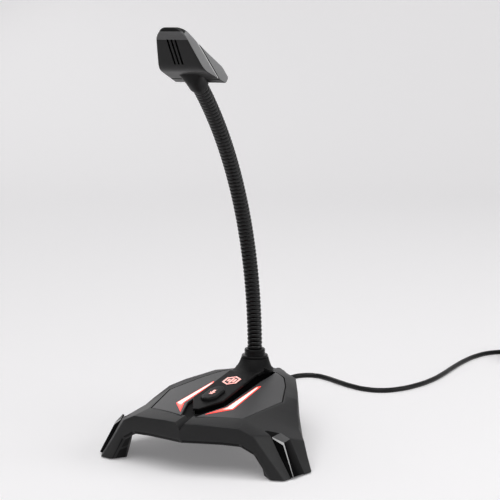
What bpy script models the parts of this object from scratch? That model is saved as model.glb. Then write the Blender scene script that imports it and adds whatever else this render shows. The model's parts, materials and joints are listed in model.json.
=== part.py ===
"""Gooseneck desk microphone: lit four-footed base, flexible ribbed neck and paddle-shaped head.

Frame: +Z up, Z = 0 on the desk. The user sits at -Y, +X is to the right. All sizes below are in millimetres and become
metres where a mesh is made. They are drawn with X = Y = 0 on the axis of the neck's foot, and at the end everything
hangs on one empty that puts the origin under the middle of the part, cable apart. The base is symmetric about X = 0.
"""

import math

import bmesh
import bpy
from mathutils import Matrix, Vector

MM = 0.001
PART_NAME = "gooseneck_microphone"

# ---- fits
GAP = 0.3  # between pieces that touch
SLIDE_GAP = 0.4  # around the button that moves
MERGE = 0.001

# ---- neck: an arc in the plane X = 0, upright at its foot and leaning towards the user
NECK_RADIUS = 4.5
NECK_BEND_RADIUS = 232.0
NECK_START_Z = 49.0
NECK_FIRST_PIVOT = 29.5  # along the arc, from its start
NECK_SECTION = 25.0
NECK_SECTIONS = 8
NECK_SOCKET = 8.5  # how far the neck runs up inside the head
NECK_SEGMENTS = 20
LEAD_RADIUS = 1.4
CUP_RADIUS = NECK_RADIUS + GAP
BORE_RADIUS = LEAD_RADIUS + GAP
LEAD_TIP = 4.4  # the upper lead ends this far below each pivot
LEAD_BREAK = 0.55

# ---- base: the top shell's outline
BOW_Y = -117.0
BOW_SWEEP = 0.237  # the front runs back by this much for each millimetre sideways
SHELL_WALL = 3.0
SHELL_LIFT = 0.8  # the shell's feet end this high, on rubber
DECK_FRONT_Z = 33.8
DECK_HIGH_Z = 36.6
DECK_REAR_Z = 34.0
DECK_CROWN = 0.00193  # fall per square millimetre sideways
REAR_Y = 24.0
LIP_SETBACK = 1.8
SOFFIT_DEPTH = 9.0
CORNER_INSET = 1.5  # of the floor's front corner from the deck's rim

# ---- floor of the base
PLATE_Z = 21.5
PLATE_THICKNESS = 2.5
BALLAST_THICKNESS = 3.5
BOARD_THICKNESS = 1.2
SCREW_SHANK = 1.3
SCREW_HEAD = 2.6
SCREW_HEAD_HEIGHT = 1.3
SCREW_LENGTH = 7.5
POST_RADIUS = 3.4
POST_PLACES = ((34.0, -86.0), (20.5, -3.0))

# ---- deck panels and lights
PANEL_THICKNESS = 1.5
GUIDE_PROUD = 0.2
GUIDE_LEDGE = 0.6
LED_BOARD_THICKNESS = 1.0

# ---- console
CONSOLE_TIP_Y = -94.0
CONSOLE_TIP_Z = 35.8
CONSOLE_SLOPE = 0.0703
CONSOLE_JOIN_Y = -20.0
COVER_THICKNESS = 1.5
FRAME_SETBACK = 1.0
FRAME_WALL = 2.0
FRAME_BOTTOM_Z = 31.0
FRAME_HUB_Z = 37.0
HUB_RADIUS = 12.5
BOSS_RADIUS = 9.0
BOSS_TOP_Z = 46.5
BOSS_FRONT_REACH = 20.0
BOSS_EDGE_Z = 38.6
BOSS_FRONT_RISE = 2.4
BOSS_POWER = 1.8
CHANNEL_DEPTH = 2.2
GROOVE_LENGTH = 21.0  # the notch in the bow, from its front to where it meets the channel
GROOVE_FRONT_Z = 28.4
GROOVE_BACK_Z = 31.2
GROOVE_SLOPE = 1.4
GROOVE_HALF_WIDTH = 6.0
KEEL_HALF_WIDTH = 7.0
KEEL_BOTTOM_Z = 27.0
KEEL_TOP_Z = 32.0
EMBLEM_Y = -39.0
EMBLEM_HALF_WIDTH = 5.6
EMBLEM_HALF_LENGTH = 9.3
WINDOW_PROUD = 0.1

# ---- mute button
BUTTON_Y = -68.0
BUTTON_LENGTH = 24.0
BUTTON_WIDTH = 10.0
BUTTON_PROUD = 2.0
BUTTON_DEPTH = 1.3
BUTTON_TRAVEL = 1.0
STEM_RADIUS = 2.0
SWITCH_SIZE = 6.0
SWITCH_HEIGHT = 3.5
PLUNGER_RADIUS = 1.7
PLUNGER_HEIGHT = 0.9

# ---- collar and clamp at the neck's foot
FERRULE_RADIUS = 5.0
FERRULE_BOTTOM_Z = 25.5
COLLAR_RADIUS = 6.8
COLLAR_FLANGE_RADIUS = 8.7
COLLAR_TOP_Z = 53.3
COLLAR_SHOULDER_Z = 48.3
NUT_RADIUS = 8.5
NUT_HEIGHT = 4.2

# ---- head, in its own frame: u runs on along the neck, v up and back, x sideways
HEAD_PROFILE = ((0.0, 3.0), (26.0, -7.4), (48.5, -1.2), (51.5, 3.2), (27.0, 5.8), (6.0, 10.6), (-2.0, 8.8))
HEAD_HALF_WIDTH = 17.1
HEAD_TAPER_U = 0.176
HEAD_TAPER_V = 0.194
HEAD_WALL = 1.8
HEAD_SPLIT = ((9.8, 0.1), (30.5, 5.3))
HEAD_BOSS_RADIUS = 5.9
HEAD_BOSS_FLARE = 7.2
HEAD_BOSS_LENGTH = 15.0
HEAD_BOSS_START = -0.5  # it begins a little before the head does
HEAD_BOSS_LIP = 0.6
SLOT_COUNT = 3
SLOT_WIDTH = 1.0
SLOT_PITCH = 2.3
SLOT_LENGTH = 17.5
SLOT_START = 0.7
CAPSULE_RADIUS = 3.0
CAPSULE_HEIGHT = 2.7
BOOT_WALL = 1.0
FOAM_THICKNESS = 0.8
FOAM_WIDTH = 10.0

# ---- leg inserts, on the slanted plane of each front leg
LEG_CORNERS = ((42.4, -107.0, 27.3), (60.7, -102.5, 0.0), (70.0, -81.0, 0.0))
INSERT_RECESS = 0.7
INSERT_PROUD = 2.4
INSERT_CHAMFER = 1.2

# ---- cable and its end
CABLE_RADIUS = 1.8
CABLE_EXIT_Z = 27.7
RELIEF_FLANGE = 3.4
RELIEF_NECK = 3.0
RELIEF_LENGTH = 11.5
WALL_LEAN = 0.9  # how far behind the deck's rear edge the wall stands at the cable's exit
CABLE_STEP = 8.0
COIL_CENTRE = (139.0, 253.0)
COIL_MEAN_RADIUS = 21.6
COIL_TURNS = 3
PLUG_SIZE = (12.0, 28.0, 8.0)
PLUG_SHELL = (12.0, 12.0, 4.5)

parts = bpy.data.collections.new(PART_NAME)
cutters = bpy.data.collections.new(PART_NAME + "_cutters")


# ------------------------------------------------------------------ helpers
def lin(value, start, end, first, last):
    """The value between first and last, as value runs from start to end; it stays there beyond them."""
    share = min(1.0, max(0.0, (value - start) / (end - start)))
    return first + (last - first) * share


def clear_scene():
    for obj in list(bpy.data.objects):
        bpy.data.objects.remove(obj)
    for collection in (parts, cutters):
        bpy.context.scene.collection.children.link(collection)


def material(name, colour, roughness, metallic=0.0):
    found = bpy.data.materials.get(name)
    if found:
        return found
    made = bpy.data.materials.new(name)
    made.use_nodes = True
    shader = made.node_tree.nodes["Principled BSDF"]
    shader.inputs["Base Color"].default_value = (*colour, 1.0)
    shader.inputs["Roughness"].default_value = roughness
    shader.inputs["Metallic"].default_value = metallic
    made.diffuse_color = (*colour, 1.0)
    return made


def add(name, bm, finish=None, parent=None, smooth=False):
    """Makes an object of a mesh drawn in millimetres in the part's frame. A moving piece hangs on its joint's empty."""
    pivot = parent.location.copy() if parent else Vector()
    for vert in bm.verts:
        vert.co = vert.co * MM - pivot
    bmesh.ops.recalc_face_normals(bm, faces=bm.faces)
    mesh = bpy.data.meshes.new(name)
    bm.to_mesh(mesh)
    bm.free()
    obj = bpy.data.objects.new(name, mesh)
    obj.parent = parent
    if smooth:
        mesh.shade_smooth()
        mesh.set_sharp_from_angle(angle=math.radians(35))
    if finish:
        mesh.materials.append(finish)
        parts.objects.link(obj)
    else:
        cutters.objects.link(obj)
        obj.hide_render = True
        obj.display_type = "WIRE"
    return obj


def joint_empty(name, place):
    empty = bpy.data.objects.new(name, None)
    empty.location = Vector(place) * MM
    empty.empty_display_size = 0.01
    parts.objects.link(empty)
    return empty


def boolean(obj, other, operation="DIFFERENCE"):
    modifier = obj.modifiers.new(operation.lower() + "_" + other.name, "BOOLEAN")
    modifier.operation = operation
    modifier.solver = "EXACT"
    modifier.object = other


def box(low, high):
    bm = bmesh.new()
    size = Vector(high) - Vector(low)
    centre = (Vector(high) + Vector(low)) / 2
    bmesh.ops.create_cube(bm, size=1.0, matrix=Matrix.Translation(centre) @ Matrix.Diagonal((*size, 1.0)))
    return bm


def turned(profile, segments=24, place=None):
    """A solid of revolution about Z. The profile is a closed loop of (radius, height) points."""
    bm = bmesh.new()
    ring = [bm.verts.new((radius, 0.0, height)) for radius, height in profile]
    edges = [bm.edges.new((ring[i - 1], ring[i])) for i in range(len(ring))]
    bmesh.ops.spin(
        bm,
        geom=ring + edges,
        cent=(0, 0, 0),
        axis=(0, 0, 1),
        angle=math.tau,
        steps=segments,
        use_merge=True,
        use_duplicate=False,
    )
    bmesh.ops.remove_doubles(bm, verts=bm.verts, dist=MERGE)
    loose = [edge for edge in bm.edges if not edge.link_faces]
    bmesh.ops.delete(bm, geom=loose, context="EDGES")
    if place:
        bmesh.ops.transform(bm, matrix=place, verts=bm.verts)
    return bm


def rod(radius, low, high):
    """Profile of a plain cylinder."""
    return ((0.0, low), (radius, low), (radius, high), (0.0, high))


def tube(inner, outer, low, high):
    """Profile of a plain ring."""
    return ((inner, low), (outer, low), (outer, high), (inner, high))


def area(outline):
    return sum(
        outline[i - 1][0] * outline[i][1] - outline[i][0] * outline[i - 1][1] for i in range(len(outline))
    )


def grow(outline, distance):
    """The outline with each edge moved outwards by the distance."""
    sign = math.copysign(1.0, area(outline))
    count = len(outline)
    grown = []
    for i in range(count):
        here = Vector(outline[i])
        before = (here - Vector(outline[i - 1])).normalized()
        after = (Vector(outline[(i + 1) % count]) - here).normalized()
        out_before = Vector((before.y, -before.x)) * sign
        out_after = Vector((after.y, -after.x)) * sign
        corner = (out_before + out_after).normalized()
        reach = distance / max(0.3, corner.dot(out_before))
        grown.append(tuple(here + corner * reach))
    return grown


def both_sides(half):
    """The full outline of a symmetric piece, from its right half listed from front to back."""
    left = [(-x, y) for x, y in reversed(half) if x > MERGE]
    return list(half) + left


def flipped(outline):
    return [(-x, y) for x, y in reversed(outline)]


def slab(outline, bottom, top, cuts_x=(), cuts_y=()):
    """A sheet: the outline seen from above, between two heights that are functions of x and y."""
    bm = bmesh.new()
    bm.faces.new([bm.verts.new((x, y, 0.0)) for x, y in outline])
    bmesh.ops.triangulate(bm, faces=bm.faces)
    for axis, places in ((0, cuts_x), (1, cuts_y)):
        for place in places:
            at = Vector((0, 0, 0))
            at[axis] = place
            normal = Vector((0, 0, 0))
            normal[axis] = 1.0
            everything = bm.verts[:] + bm.edges[:] + bm.faces[:]
            bmesh.ops.bisect_plane(bm, geom=everything, plane_co=at, plane_no=normal, dist=MERGE)
    bmesh.ops.triangulate(bm, faces=bm.faces)
    lifted = bmesh.ops.extrude_face_region(bm, geom=bm.faces[:])["geom"]
    upper = {item for item in lifted if isinstance(item, bmesh.types.BMVert)}
    for vert in bm.verts:
        height = top if vert in upper else bottom
        vert.co.z = height(vert.co.x, vert.co.y)
    return bm


def level(height):
    return lambda x, y: height


def spread(start, end, step):
    """Even places between start and end, about a step apart."""
    count = max(1, round((end - start) / step))
    return [start + (end - start) * i / count for i in range(1, count)]


# ------------------------------------------------------------------ surfaces
def front_y(x):
    return BOW_Y + BOW_SWEEP * abs(x)


def deck_z(x, y):
    if y < 0:
        ridge = lin(y, BOW_Y, 0.0, DECK_FRONT_Z, DECK_HIGH_Z)
    else:
        ridge = lin(y, 0.0, REAR_Y, DECK_HIGH_Z, DECK_REAR_Z)
    return ridge - DECK_CROWN * x * x


def deck(offset):
    return lambda x, y: deck_z(x, y) + offset


DECK_CUTS = tuple(side * x for side in (-1, 1) for x in (8.0, 16.0, 24.0, 32.0))


def console_plane(y):
    return CONSOLE_TIP_Z + CONSOLE_SLOPE * (y - CONSOLE_TIP_Y) - 0.6 * max(0.0, y - CONSOLE_JOIN_Y)


def cover_top(x, y):
    """The console's cover: a gentle slope that sweeps up into the boss under the neck."""
    if y < CONSOLE_JOIN_Y + MERGE:
        return console_plane(y)
    radius = max(math.hypot(x, y), BOSS_RADIUS)
    forward = max(0.0, -y / radius) ** 2
    reach = HUB_RADIUS + (BOSS_FRONT_REACH - HUB_RADIUS) * forward
    edge = BOSS_EDGE_Z + BOSS_FRONT_RISE * forward
    rise = max(0.0, (reach - radius) / (reach - BOSS_RADIUS)) ** BOSS_POWER
    return max(console_plane(y), edge + (BOSS_TOP_Z - edge) * rise)


def frame_top(x, y):
    """The black frame under the cover: one cover thickness below its slope, and level round the neck."""
    if y < CONSOLE_JOIN_Y:
        return console_plane(y) - COVER_THICKNESS - GAP
    start = console_plane(CONSOLE_JOIN_Y) - COVER_THICKNESS - GAP
    return lin(y, CONSOLE_JOIN_Y, -HUB_RADIUS, start, FRAME_HUB_Z)


def cover_bottom(x, y):
    return frame_top(x, y) + GAP


def hub_arc(radius, steps=9):
    """Right half of the round end about the neck, from its front to its back."""
    start = math.asin(min(1.0, (CONSOLE_HALF_WIDTH) / HUB_RADIUS)) - math.pi / 2
    places = [start + (math.pi / 2 - start) * i / steps for i in range(steps + 1)]
    return [(radius * math.cos(a), radius * math.sin(a)) for a in places[:-1]] + [(0.0, radius)]


CONSOLE_HALF_WIDTH = 9.8
CONSOLE_ELBOW = (10.2, -75.6)
CONSOLE_OUTLINE = both_sides(
    [(1.7, CONSOLE_TIP_Y), CONSOLE_ELBOW, (CONSOLE_HALF_WIDTH, CONSOLE_JOIN_Y)] + hub_arc(HUB_RADIUS)
)
FRAME_OUTLINE = grow(CONSOLE_OUTLINE, -FRAME_SETBACK)
CONSOLE_CUTS_Y = (*spread(CONSOLE_JOIN_Y - 2.0, HUB_RADIUS, 2.5), CONSOLE_JOIN_Y, -HUB_RADIUS)
CONSOLE_CUTS_X = (-9.0, -6.5, -4.0, -1.5, 1.5, 4.0, 6.5, 9.0)

# The right-hand panel, its light and the channel between it and the console, seen from above.
PANEL_OUTLINE = [
    (4.6, -104.6),
    (30.5, -92.7),
    (38.7, -49.4),
    (31.0, -20.0),
    (20.0, 3.0),
    (12.0, 11.5),
    (13.6, 6.0),
    (14.2, 0.0),
    (13.6, -9.0),
    (12.3, -20.0),
    (12.3, -78.0),
]
GUIDE_OUTLINE = [(8.2, -98.2), (19.0, -81.2), (16.6, -30.0), (14.7, -33.0), (14.4, -79.6)]
CHANNEL_OUTLINE = both_sides(
    [(1.5, -103.0), (4.6, -103.6), (12.6, -77.5), (12.6, -20.0), (13.9, -9.0), (14.5, 0.0), (13.9, 6.0)]
    + [(9.5, 12.0), (0.0, 15.0)]
)

# Stations of the top shell, from front to back: the deck's middle y, then its rim (x, y), and the crease, lower crease
# and bottom edge of its side (x, y, z).
STATIONS = (
    (BOW_Y, (34.5, front_y(34.5)), (42.4, front_y(42.4), 27.3), (51.5, front_y(51.5), 13.7), (60.7, -102.5, 0.0)),
    (-98.0, (32.0, -93.6), (52.4, -90.0, 23.5), (58.5, -91.0, 12.0), (65.2, -92.0, 0.0)),
    (-80.0, (35.0, -76.0), (61.7, -72.0, 17.0), (65.6, -76.6, 9.0), (70.0, -81.0, 0.0)),
    (-66.0, (37.6, -62.0), (54.3, -61.0, 21.0), (56.6, -62.0, 17.3), (57.0, -62.5, 13.5)),
    (-51.0, (39.9, -49.4), (49.8, -51.5, 26.2), (51.5, -51.0, 21.5), (51.5, -51.0, 14.5)),
    (-40.0, (37.2, -38.5), (44.8, -38.5, 31.8), (46.6, -39.5, 22.0), (46.6, -40.0, 14.5)),
    (-20.0, (32.2, -19.5), (39.8, -25.0, 33.4), (40.3, -24.5, 25.0), (40.3, -24.5, 14.0)),
    (0.0, (23.6, -2.0), (29.0, 0.0, 34.9), (30.2, 0.5, 26.0), (31.5, 1.0, 0.0)),
    (14.0, (19.4, 6.5), (22.2, 9.0, 34.0), (26.2, 10.5, 24.0), (27.2, 13.0, 0.0)),
    (REAR_Y, (13.0, 20.0), (16.5, 17.3, 32.0), (17.6, 18.3, 24.0), (18.6, 19.4, 0.0)),
)
FRONT_COLUMNS = (0.0, 12.0, 24.0)
DECK_SHARES = (0.0, 0.35, 0.7)
# Rows of the front below its crease: (x, z) of each column.
LIP_TOP = ((0.0, 24.0), (12.0, 24.0), (24.0, 24.0), (35.5, 23.2), (44.2, 17.6), (49.0, 8.0), (53.3, 0.0))
ARCH_EDGE = ((0.0, 21.5), (12.0, 21.5), (24.0, 21.4), (34.6, 20.7), (42.4, 15.9), (47.0, 8.0), (51.2, 0.0))
SOFFIT_END = ((0.0, 21.5), (11.5, 21.5), (23.0, 21.4), (33.5, 20.9), (41.0, 16.4), (44.2, 8.5), (45.5, 0.0))


def lifted(z):
    return max(z, SHELL_LIFT)


def shell_rows():
    """Grid of points over the right half of the top shell, row by row from the soffit to the rear wall."""
    rows = []
    for edge, setback in ((SOFFIT_END, SOFFIT_DEPTH), (ARCH_EDGE, LIP_SETBACK), (LIP_TOP, 0.0)):
        rows.append([(x, front_y(x) + setback, lifted(z)) for x, z in edge])
    for number, (middle_y, rim, *side) in enumerate(STATIONS):
        row = []
        for share, column in zip(DECK_SHARES, FRONT_COLUMNS):
            if number == 0:
                x, y = column, front_y(column)
            else:
                x, y = rim[0] * share, middle_y + (rim[1] - middle_y) * share * share
            row.append((x, y, deck_z(x, y) - (0.8 if number == 0 else 0.0)))
        row.append((*rim, deck_z(*rim) - (0.0 if number else 0.2)))
        row += [(x, y, lifted(z)) for x, y, z in side]
        rows.append(row)
    rear = rows[-1]
    wall = [(x, y + 0.5, PLATE_Z) for x, y, z in rear[:3]]
    wall += [(11.0, 21.6, PLATE_Z), (12.5, 20.6, 18.0), (14.0, 20.8, 10.0), (15.5, 21.2, SHELL_LIFT)]
    rows.append(wall)
    return rows


def side_x(station, z):
    """How far out the shell stands at one station and height, on its way from the deck's rim down the side."""
    rim = STATIONS[station][1]
    line = [(*rim, deck_z(*rim)), *STATIONS[station][2:]]
    for upper, lower in zip(line, line[1:]):
        if upper[2] >= z >= lower[2]:
            return lin(z, lower[2], upper[2], lower[0], upper[0])
    return line[0][0]


def inside_outline(z, clearance):
    """Right half of what fits inside the shell at one height, front to back."""
    front = SOFFIT_DEPTH + clearance
    corner = STATIONS[0][1][0] - CORNER_INSET
    half = [(0.0, BOW_Y + front), (corner, front_y(corner) + front)]
    for station in range(1, 9):
        y = STATIONS[station][3][1] - (2.0 if station == 8 else 0.0)
        beside_wall = side_x(station, z) - 1.2 * SHELL_WALL
        under_slope = side_x(station, z + 1.4 * SHELL_WALL)
        half.append((min(beside_wall, under_slope) - clearance, y))
    rear = REAR_Y - SHELL_WALL - clearance
    return half + [(10.0, rear - 4.0), (0.0, rear)]


# ------------------------------------------------------------------ places on the neck and the head
def neck_turn(distance):
    """How far the neck has leaned over at a distance along it; below its start it is straight."""
    return max(0.0, distance) / NECK_BEND_RADIUS


def neck_point(distance):
    turn = neck_turn(distance)
    rise = NECK_BEND_RADIUS * math.sin(turn) + min(0.0, distance)
    return Vector((0.0, -NECK_BEND_RADIUS * (1 - math.cos(turn)), NECK_START_Z + rise))


def onto_neck(bm):
    """Bends a mesh drawn straight up Z round the neck's arc, height for distance along it."""
    for vert in bm.verts:
        x, y, distance = vert.co
        turn = neck_turn(distance)
        vert.co = neck_point(distance) + Vector((x, y * math.cos(turn), y * math.sin(turn)))
    return bm


NECK_PIVOTS = [NECK_FIRST_PIVOT + NECK_SECTION * i for i in range(NECK_SECTIONS - 1)]
HEAD_START = NECK_PIVOTS[-1] + NECK_SECTION
NECK_END = HEAD_START + NECK_SOCKET
HEAD_TURN = HEAD_START / NECK_BEND_RADIUS
HEAD_ALONG = Vector((0.0, -math.sin(HEAD_TURN), math.cos(HEAD_TURN)))
HEAD_ACROSS = Vector((0.0, math.cos(HEAD_TURN), math.sin(HEAD_TURN)))


def head_matrix(along=0.0, across=0.0):
    """The head's own frame: x sideways, then v, then u along the neck."""
    origin = neck_point(HEAD_START) + HEAD_ALONG * along + HEAD_ACROSS * across
    rows = Matrix((Vector((1, 0, 0)), HEAD_ACROSS, HEAD_ALONG)).transposed().to_4x4()
    return Matrix.Translation(origin) @ rows


def head_half_width(u, v):
    return HEAD_HALF_WIDTH - HEAD_TAPER_U * u - HEAD_TAPER_V * v


def paddle(profile, inset=0.0):
    """The head's solid for one side profile, narrowing towards its nose."""
    bm = bmesh.new()
    bm.faces.new([bm.verts.new((0.0, v, u)) for u, v in profile])
    lifted_geometry = bmesh.ops.extrude_face_region(bm, geom=bm.faces[:])["geom"]
    right = {item for item in lifted_geometry if isinstance(item, bmesh.types.BMVert)}
    for vert in bm.verts:
        width = head_half_width(vert.co.z, vert.co.y) - inset
        vert.co.x = width if vert in right else -width
    bmesh.ops.transform(bm, matrix=head_matrix(), verts=bm.verts)
    return bm


def split_side(side):
    """Half space on one side of the head's parting plane, as a large block."""
    low, high = (Vector(point) for point in HEAD_SPLIT)
    along = (high - low).normalized()
    reach = 80.0
    offset = -GAP / 2 * side
    bm = bmesh.new()
    place = Matrix.Translation((0.0, side * reach / 2 + offset, 0.0)) @ Matrix.Diagonal((reach, reach, 2 * reach, 1.0))
    bmesh.ops.create_cube(bm, size=1.0, matrix=place)
    turn = Matrix.Rotation(-math.atan2(along.y, along.x), 4, "X")
    bmesh.ops.transform(bm, matrix=head_matrix(low.x, low.y) @ turn, verts=bm.verts)
    return bm


# ------------------------------------------------------------------ base
def make_top_shell(finish):
    rows = shell_rows()
    bm = bmesh.new()
    grid = [[bm.verts.new(point) for point in row] for row in rows]
    for lower, upper in zip(grid, grid[1:]):
        for i in range(len(lower) - 1):
            bm.faces.new((lower[i], lower[i + 1], upper[i + 1], upper[i]))
    for vert in bm.verts:
        vert.co *= MM
    mesh = bpy.data.meshes.new("base_top_shell")
    bm.to_mesh(mesh)
    bm.free()
    mesh.materials.append(finish)
    shell = bpy.data.objects.new("base_top_shell", mesh)
    parts.objects.link(shell)
    mirror = shell.modifiers.new("right_and_left", "MIRROR")
    mirror.use_clip = True
    mirror.merge_threshold = 0.00005
    wall = shell.modifiers.new("wall", "SOLIDIFY")
    wall.thickness = SHELL_WALL * MM
    wall.offset = -1.0
    wall.use_even_offset = True
    keel_low = (-KEEL_HALF_WIDTH, BOW_Y + 2.5, KEEL_BOTTOM_Z)
    keel_high = (KEEL_HALF_WIDTH, BOW_Y + GROOVE_LENGTH - 1.0, KEEL_TOP_Z)
    boolean(shell, add("keel_block", box(keel_low, keel_high)), "UNION")
    for side in (-1, 1):
        for number, (x, y) in enumerate(POST_PLACES):
            low = PLATE_Z + PLATE_THICKNESS + GAP
            place = Matrix.Translation((side * x, y, 0))
            post = turned(rod(POST_RADIUS, low, deck_z(x, y) - 1.5), 16, place)
            boolean(shell, add(f"post_{number}_{side}", post), "UNION")
            bore = turned(rod(SCREW_SHANK + GAP, low - 1.0, low + SCREW_LENGTH - 2.0), 12, place)
            boolean(shell, add(f"post_bore_{number}_{side}", bore))
    for side, turn in ((1, list), (-1, flipped)):
        panel = turn(grow(PANEL_OUTLINE, GAP))
        floor = deck(-PANEL_THICKNESS - GAP)
        boolean(shell, add(f"panel_pocket_{side}", slab(panel, floor, deck(5.0), DECK_CUTS)))
        light = turn(grow(GUIDE_OUTLINE, -GUIDE_LEDGE))
        boolean(shell, add(f"light_opening_{side}", slab(light, deck(-8.0), deck(5.0))))
    channel = slab(CHANNEL_OUTLINE, deck(-CHANNEL_DEPTH), deck(5.5), DECK_CUTS)
    boolean(shell, add("console_channel", channel))
    opening = slab(grow(FRAME_OUTLINE, GAP), level(20.0), level(60.0))
    boolean(shell, add("console_opening", opening))
    boolean(shell, add("bow_groove", bow_groove()))
    exit_hole = turned(rod(RELIEF_NECK + GAP, 0.0, 10.0), 16, rear_place(REAR_Y - 5.0))
    boolean(shell, add("cable_hole", exit_hole))
    for side in (-1, 1):
        boolean(shell, add(f"insert_recess_{side}", leg_block(side, -INSERT_RECESS - GAP, 6.0, GAP)))
    return shell


def bow_groove():
    """Cutter of the V-shaped notch that runs in from the bow to the channel round the console."""
    front, back = BOW_Y - 4.0, BOW_Y + GROOVE_LENGTH + 1.5
    half = GROOVE_HALF_WIDTH
    return slab(
        [(-half, front), (half, front), (half, back), (-half, back)],
        lambda x, y: lin(y, BOW_Y, BOW_Y + GROOVE_LENGTH, GROOVE_FRONT_Z, GROOVE_BACK_Z) + GROOVE_SLOPE * abs(x),
        level(DECK_FRONT_Z + 10.0),
        (0.0,),
        (BOW_Y,),
    )


def rear_place(y):
    """A turned piece's frame at the cable's exit, with its axis running back along +Y."""
    return Matrix.Translation((0.0, y, CABLE_EXIT_Z)) @ Matrix.Rotation(-math.pi / 2, 4, "X")


def leg_frame():
    a, b, c = (Vector(corner) for corner in LEG_CORNERS)
    normal = (b - a).cross(c - a).normalized()
    if normal.x < 0:
        normal.negate()
    up = (Vector((0, 0, 1)) - normal * normal.z).normalized()
    return a, normal, up.cross(normal).normalized(), up


def leg_point(across, up_along, out, side=1):
    """A point on the slanted face of the leg: across it, up it, and out from it."""
    origin, normal, sideways, up = leg_frame()
    place = origin + sideways * across + up * up_along + normal * out
    place.x *= side
    return place


INSERT_OUTLINE = ((17.4, -30.0), (28.4, -30.0), (27.2, -8.0), (21.6, -2.9), (13.8, -3.8))


def leg_block(side, low, high, margin, inset=0.0):
    outline = grow(INSERT_OUTLINE, margin)
    upper = grow(INSERT_OUTLINE, margin - inset)
    bm = bmesh.new()
    faces = []
    for ring, out in ((outline, low), (upper, high)):
        faces.append([bm.verts.new(leg_point(across, along, out, side)) for across, along in ring])
    bm.faces.new(faces[0])
    bm.faces.new(faces[1])
    for i in range(len(outline)):
        bm.faces.new((faces[0][i - 1], faces[0][i], faces[1][i], faces[1][i - 1]))
    return bm


def make_base_trim(panel_finish, guide_finish, board_finish, insert_finish):
    for name, side, turn in (("right", 1, list), ("left", -1, flipped)):
        panel = add(
            name + "_panel",
            slab(turn(PANEL_OUTLINE), deck(-PANEL_THICKNESS), deck(0.0), DECK_CUTS),
            panel_finish,
        )
        slot = slab(turn(grow(GUIDE_OUTLINE, GAP)), deck(-4.0), deck(4.0))
        boolean(panel, add(name + "_guide_slot", slot))
        guide = slab(turn(GUIDE_OUTLINE), deck(-PANEL_THICKNESS), deck(GUIDE_PROUD))
        add(name + "_light_guide", guide, guide_finish)
        top = deck(-SHELL_WALL - GAP)
        bottom = deck(-SHELL_WALL - GAP - LED_BOARD_THICKNESS)
        board = slab(turn(LED_BOARD_OUTLINE), bottom, top, DECK_CUTS)
        add(name + "_led_board", board, board_finish)
        insert = leg_block(side, -INSERT_RECESS, INSERT_PROUD, 0.0, INSERT_CHAMFER)
        add(name + "_leg_insert", insert, insert_finish)


LED_BOARD_OUTLINE = [(12.4, -84.0), (18.6, -82.0), (18.6, -32.0), (12.4, -32.0)]
BALLAST_OUTLINE = both_sides([(0.0, -93.0), (27.0, -90.0), (29.0, -50.0), (24.0, -20.0), (10.5, -14.0), (0.0, -14.0)])
BOARD_OUTLINE = both_sides([(0.0, -88.0), (9.5, -86.0), (11.5, -60.0), (11.5, -16.0), (0.0, -16.0)])


def make_base_inside(plate_finish, ballast_finish, board_finish, screw_finish, rubber_finish):
    plate_top = PLATE_Z + PLATE_THICKNESS
    plate_outline = both_sides(inside_outline(PLATE_Z + PLATE_THICKNESS, GAP))
    plate = add("base_bottom_plate", slab(plate_outline, level(PLATE_Z), level(plate_top)), plate_finish)
    ballast_top = plate_top + GAP + BALLAST_THICKNESS
    ballast = slab(BALLAST_OUTLINE, level(plate_top + GAP), level(ballast_top))
    add("ballast_plate", ballast, ballast_finish)
    board_top = ballast_top + GAP + BOARD_THICKNESS
    add("main_board", slab(BOARD_OUTLINE, level(ballast_top + GAP), level(board_top)), board_finish)
    for name, side in (("right", 1), ("left", -1)):
        for end, (x, y) in zip(("front", "rear"), POST_PLACES):
            place = Matrix.Translation((side * x, y, 0))
            hole = turned(rod(SCREW_SHANK + GAP, PLATE_Z - 1.0, plate_top + 1.0), 12, place)
            boolean(plate, add(f"screw_hole_{end}_{side}", hole))
            head_low = PLATE_Z - GAP - SCREW_HEAD_HEIGHT
            screw = (
                (0.0, head_low),
                (SCREW_HEAD - 0.4, head_low),
                (SCREW_HEAD, head_low + 0.4),
                (SCREW_HEAD, PLATE_Z - GAP),
                (SCREW_SHANK, PLATE_Z - GAP),
                (SCREW_SHANK, PLATE_Z - GAP + SCREW_LENGTH),
                (0.0, PLATE_Z - GAP + SCREW_LENGTH),
            )
            add(f"base_screw_{end}_{name}", turned(screw, 12, place), screw_finish)
        for end, outline in (("front", FRONT_PAD), ("rear", REAR_PAD)):
            pad = [(side * x, y) for x, y in outline]
            add(f"rubber_foot_{end}_{name}", slab(pad, level(0.0), level(PAD_HEIGHT)), rubber_finish)
    return board_top


PAD_HEIGHT = 4.0
FRONT_PAD = [(53.4, -99.9), (55.3, -99.1), (58.9, -91.0), (63.0, -81.0), (59.6, -81.0), (54.0, -92.0), (50.2, -96.5)]
REAR_PAD = [(27.6, 2.0), (23.6, 10.6), (17.2, 15.6), (15.6, 13.4), (21.0, 8.8), (24.2, 2.0)]


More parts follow.
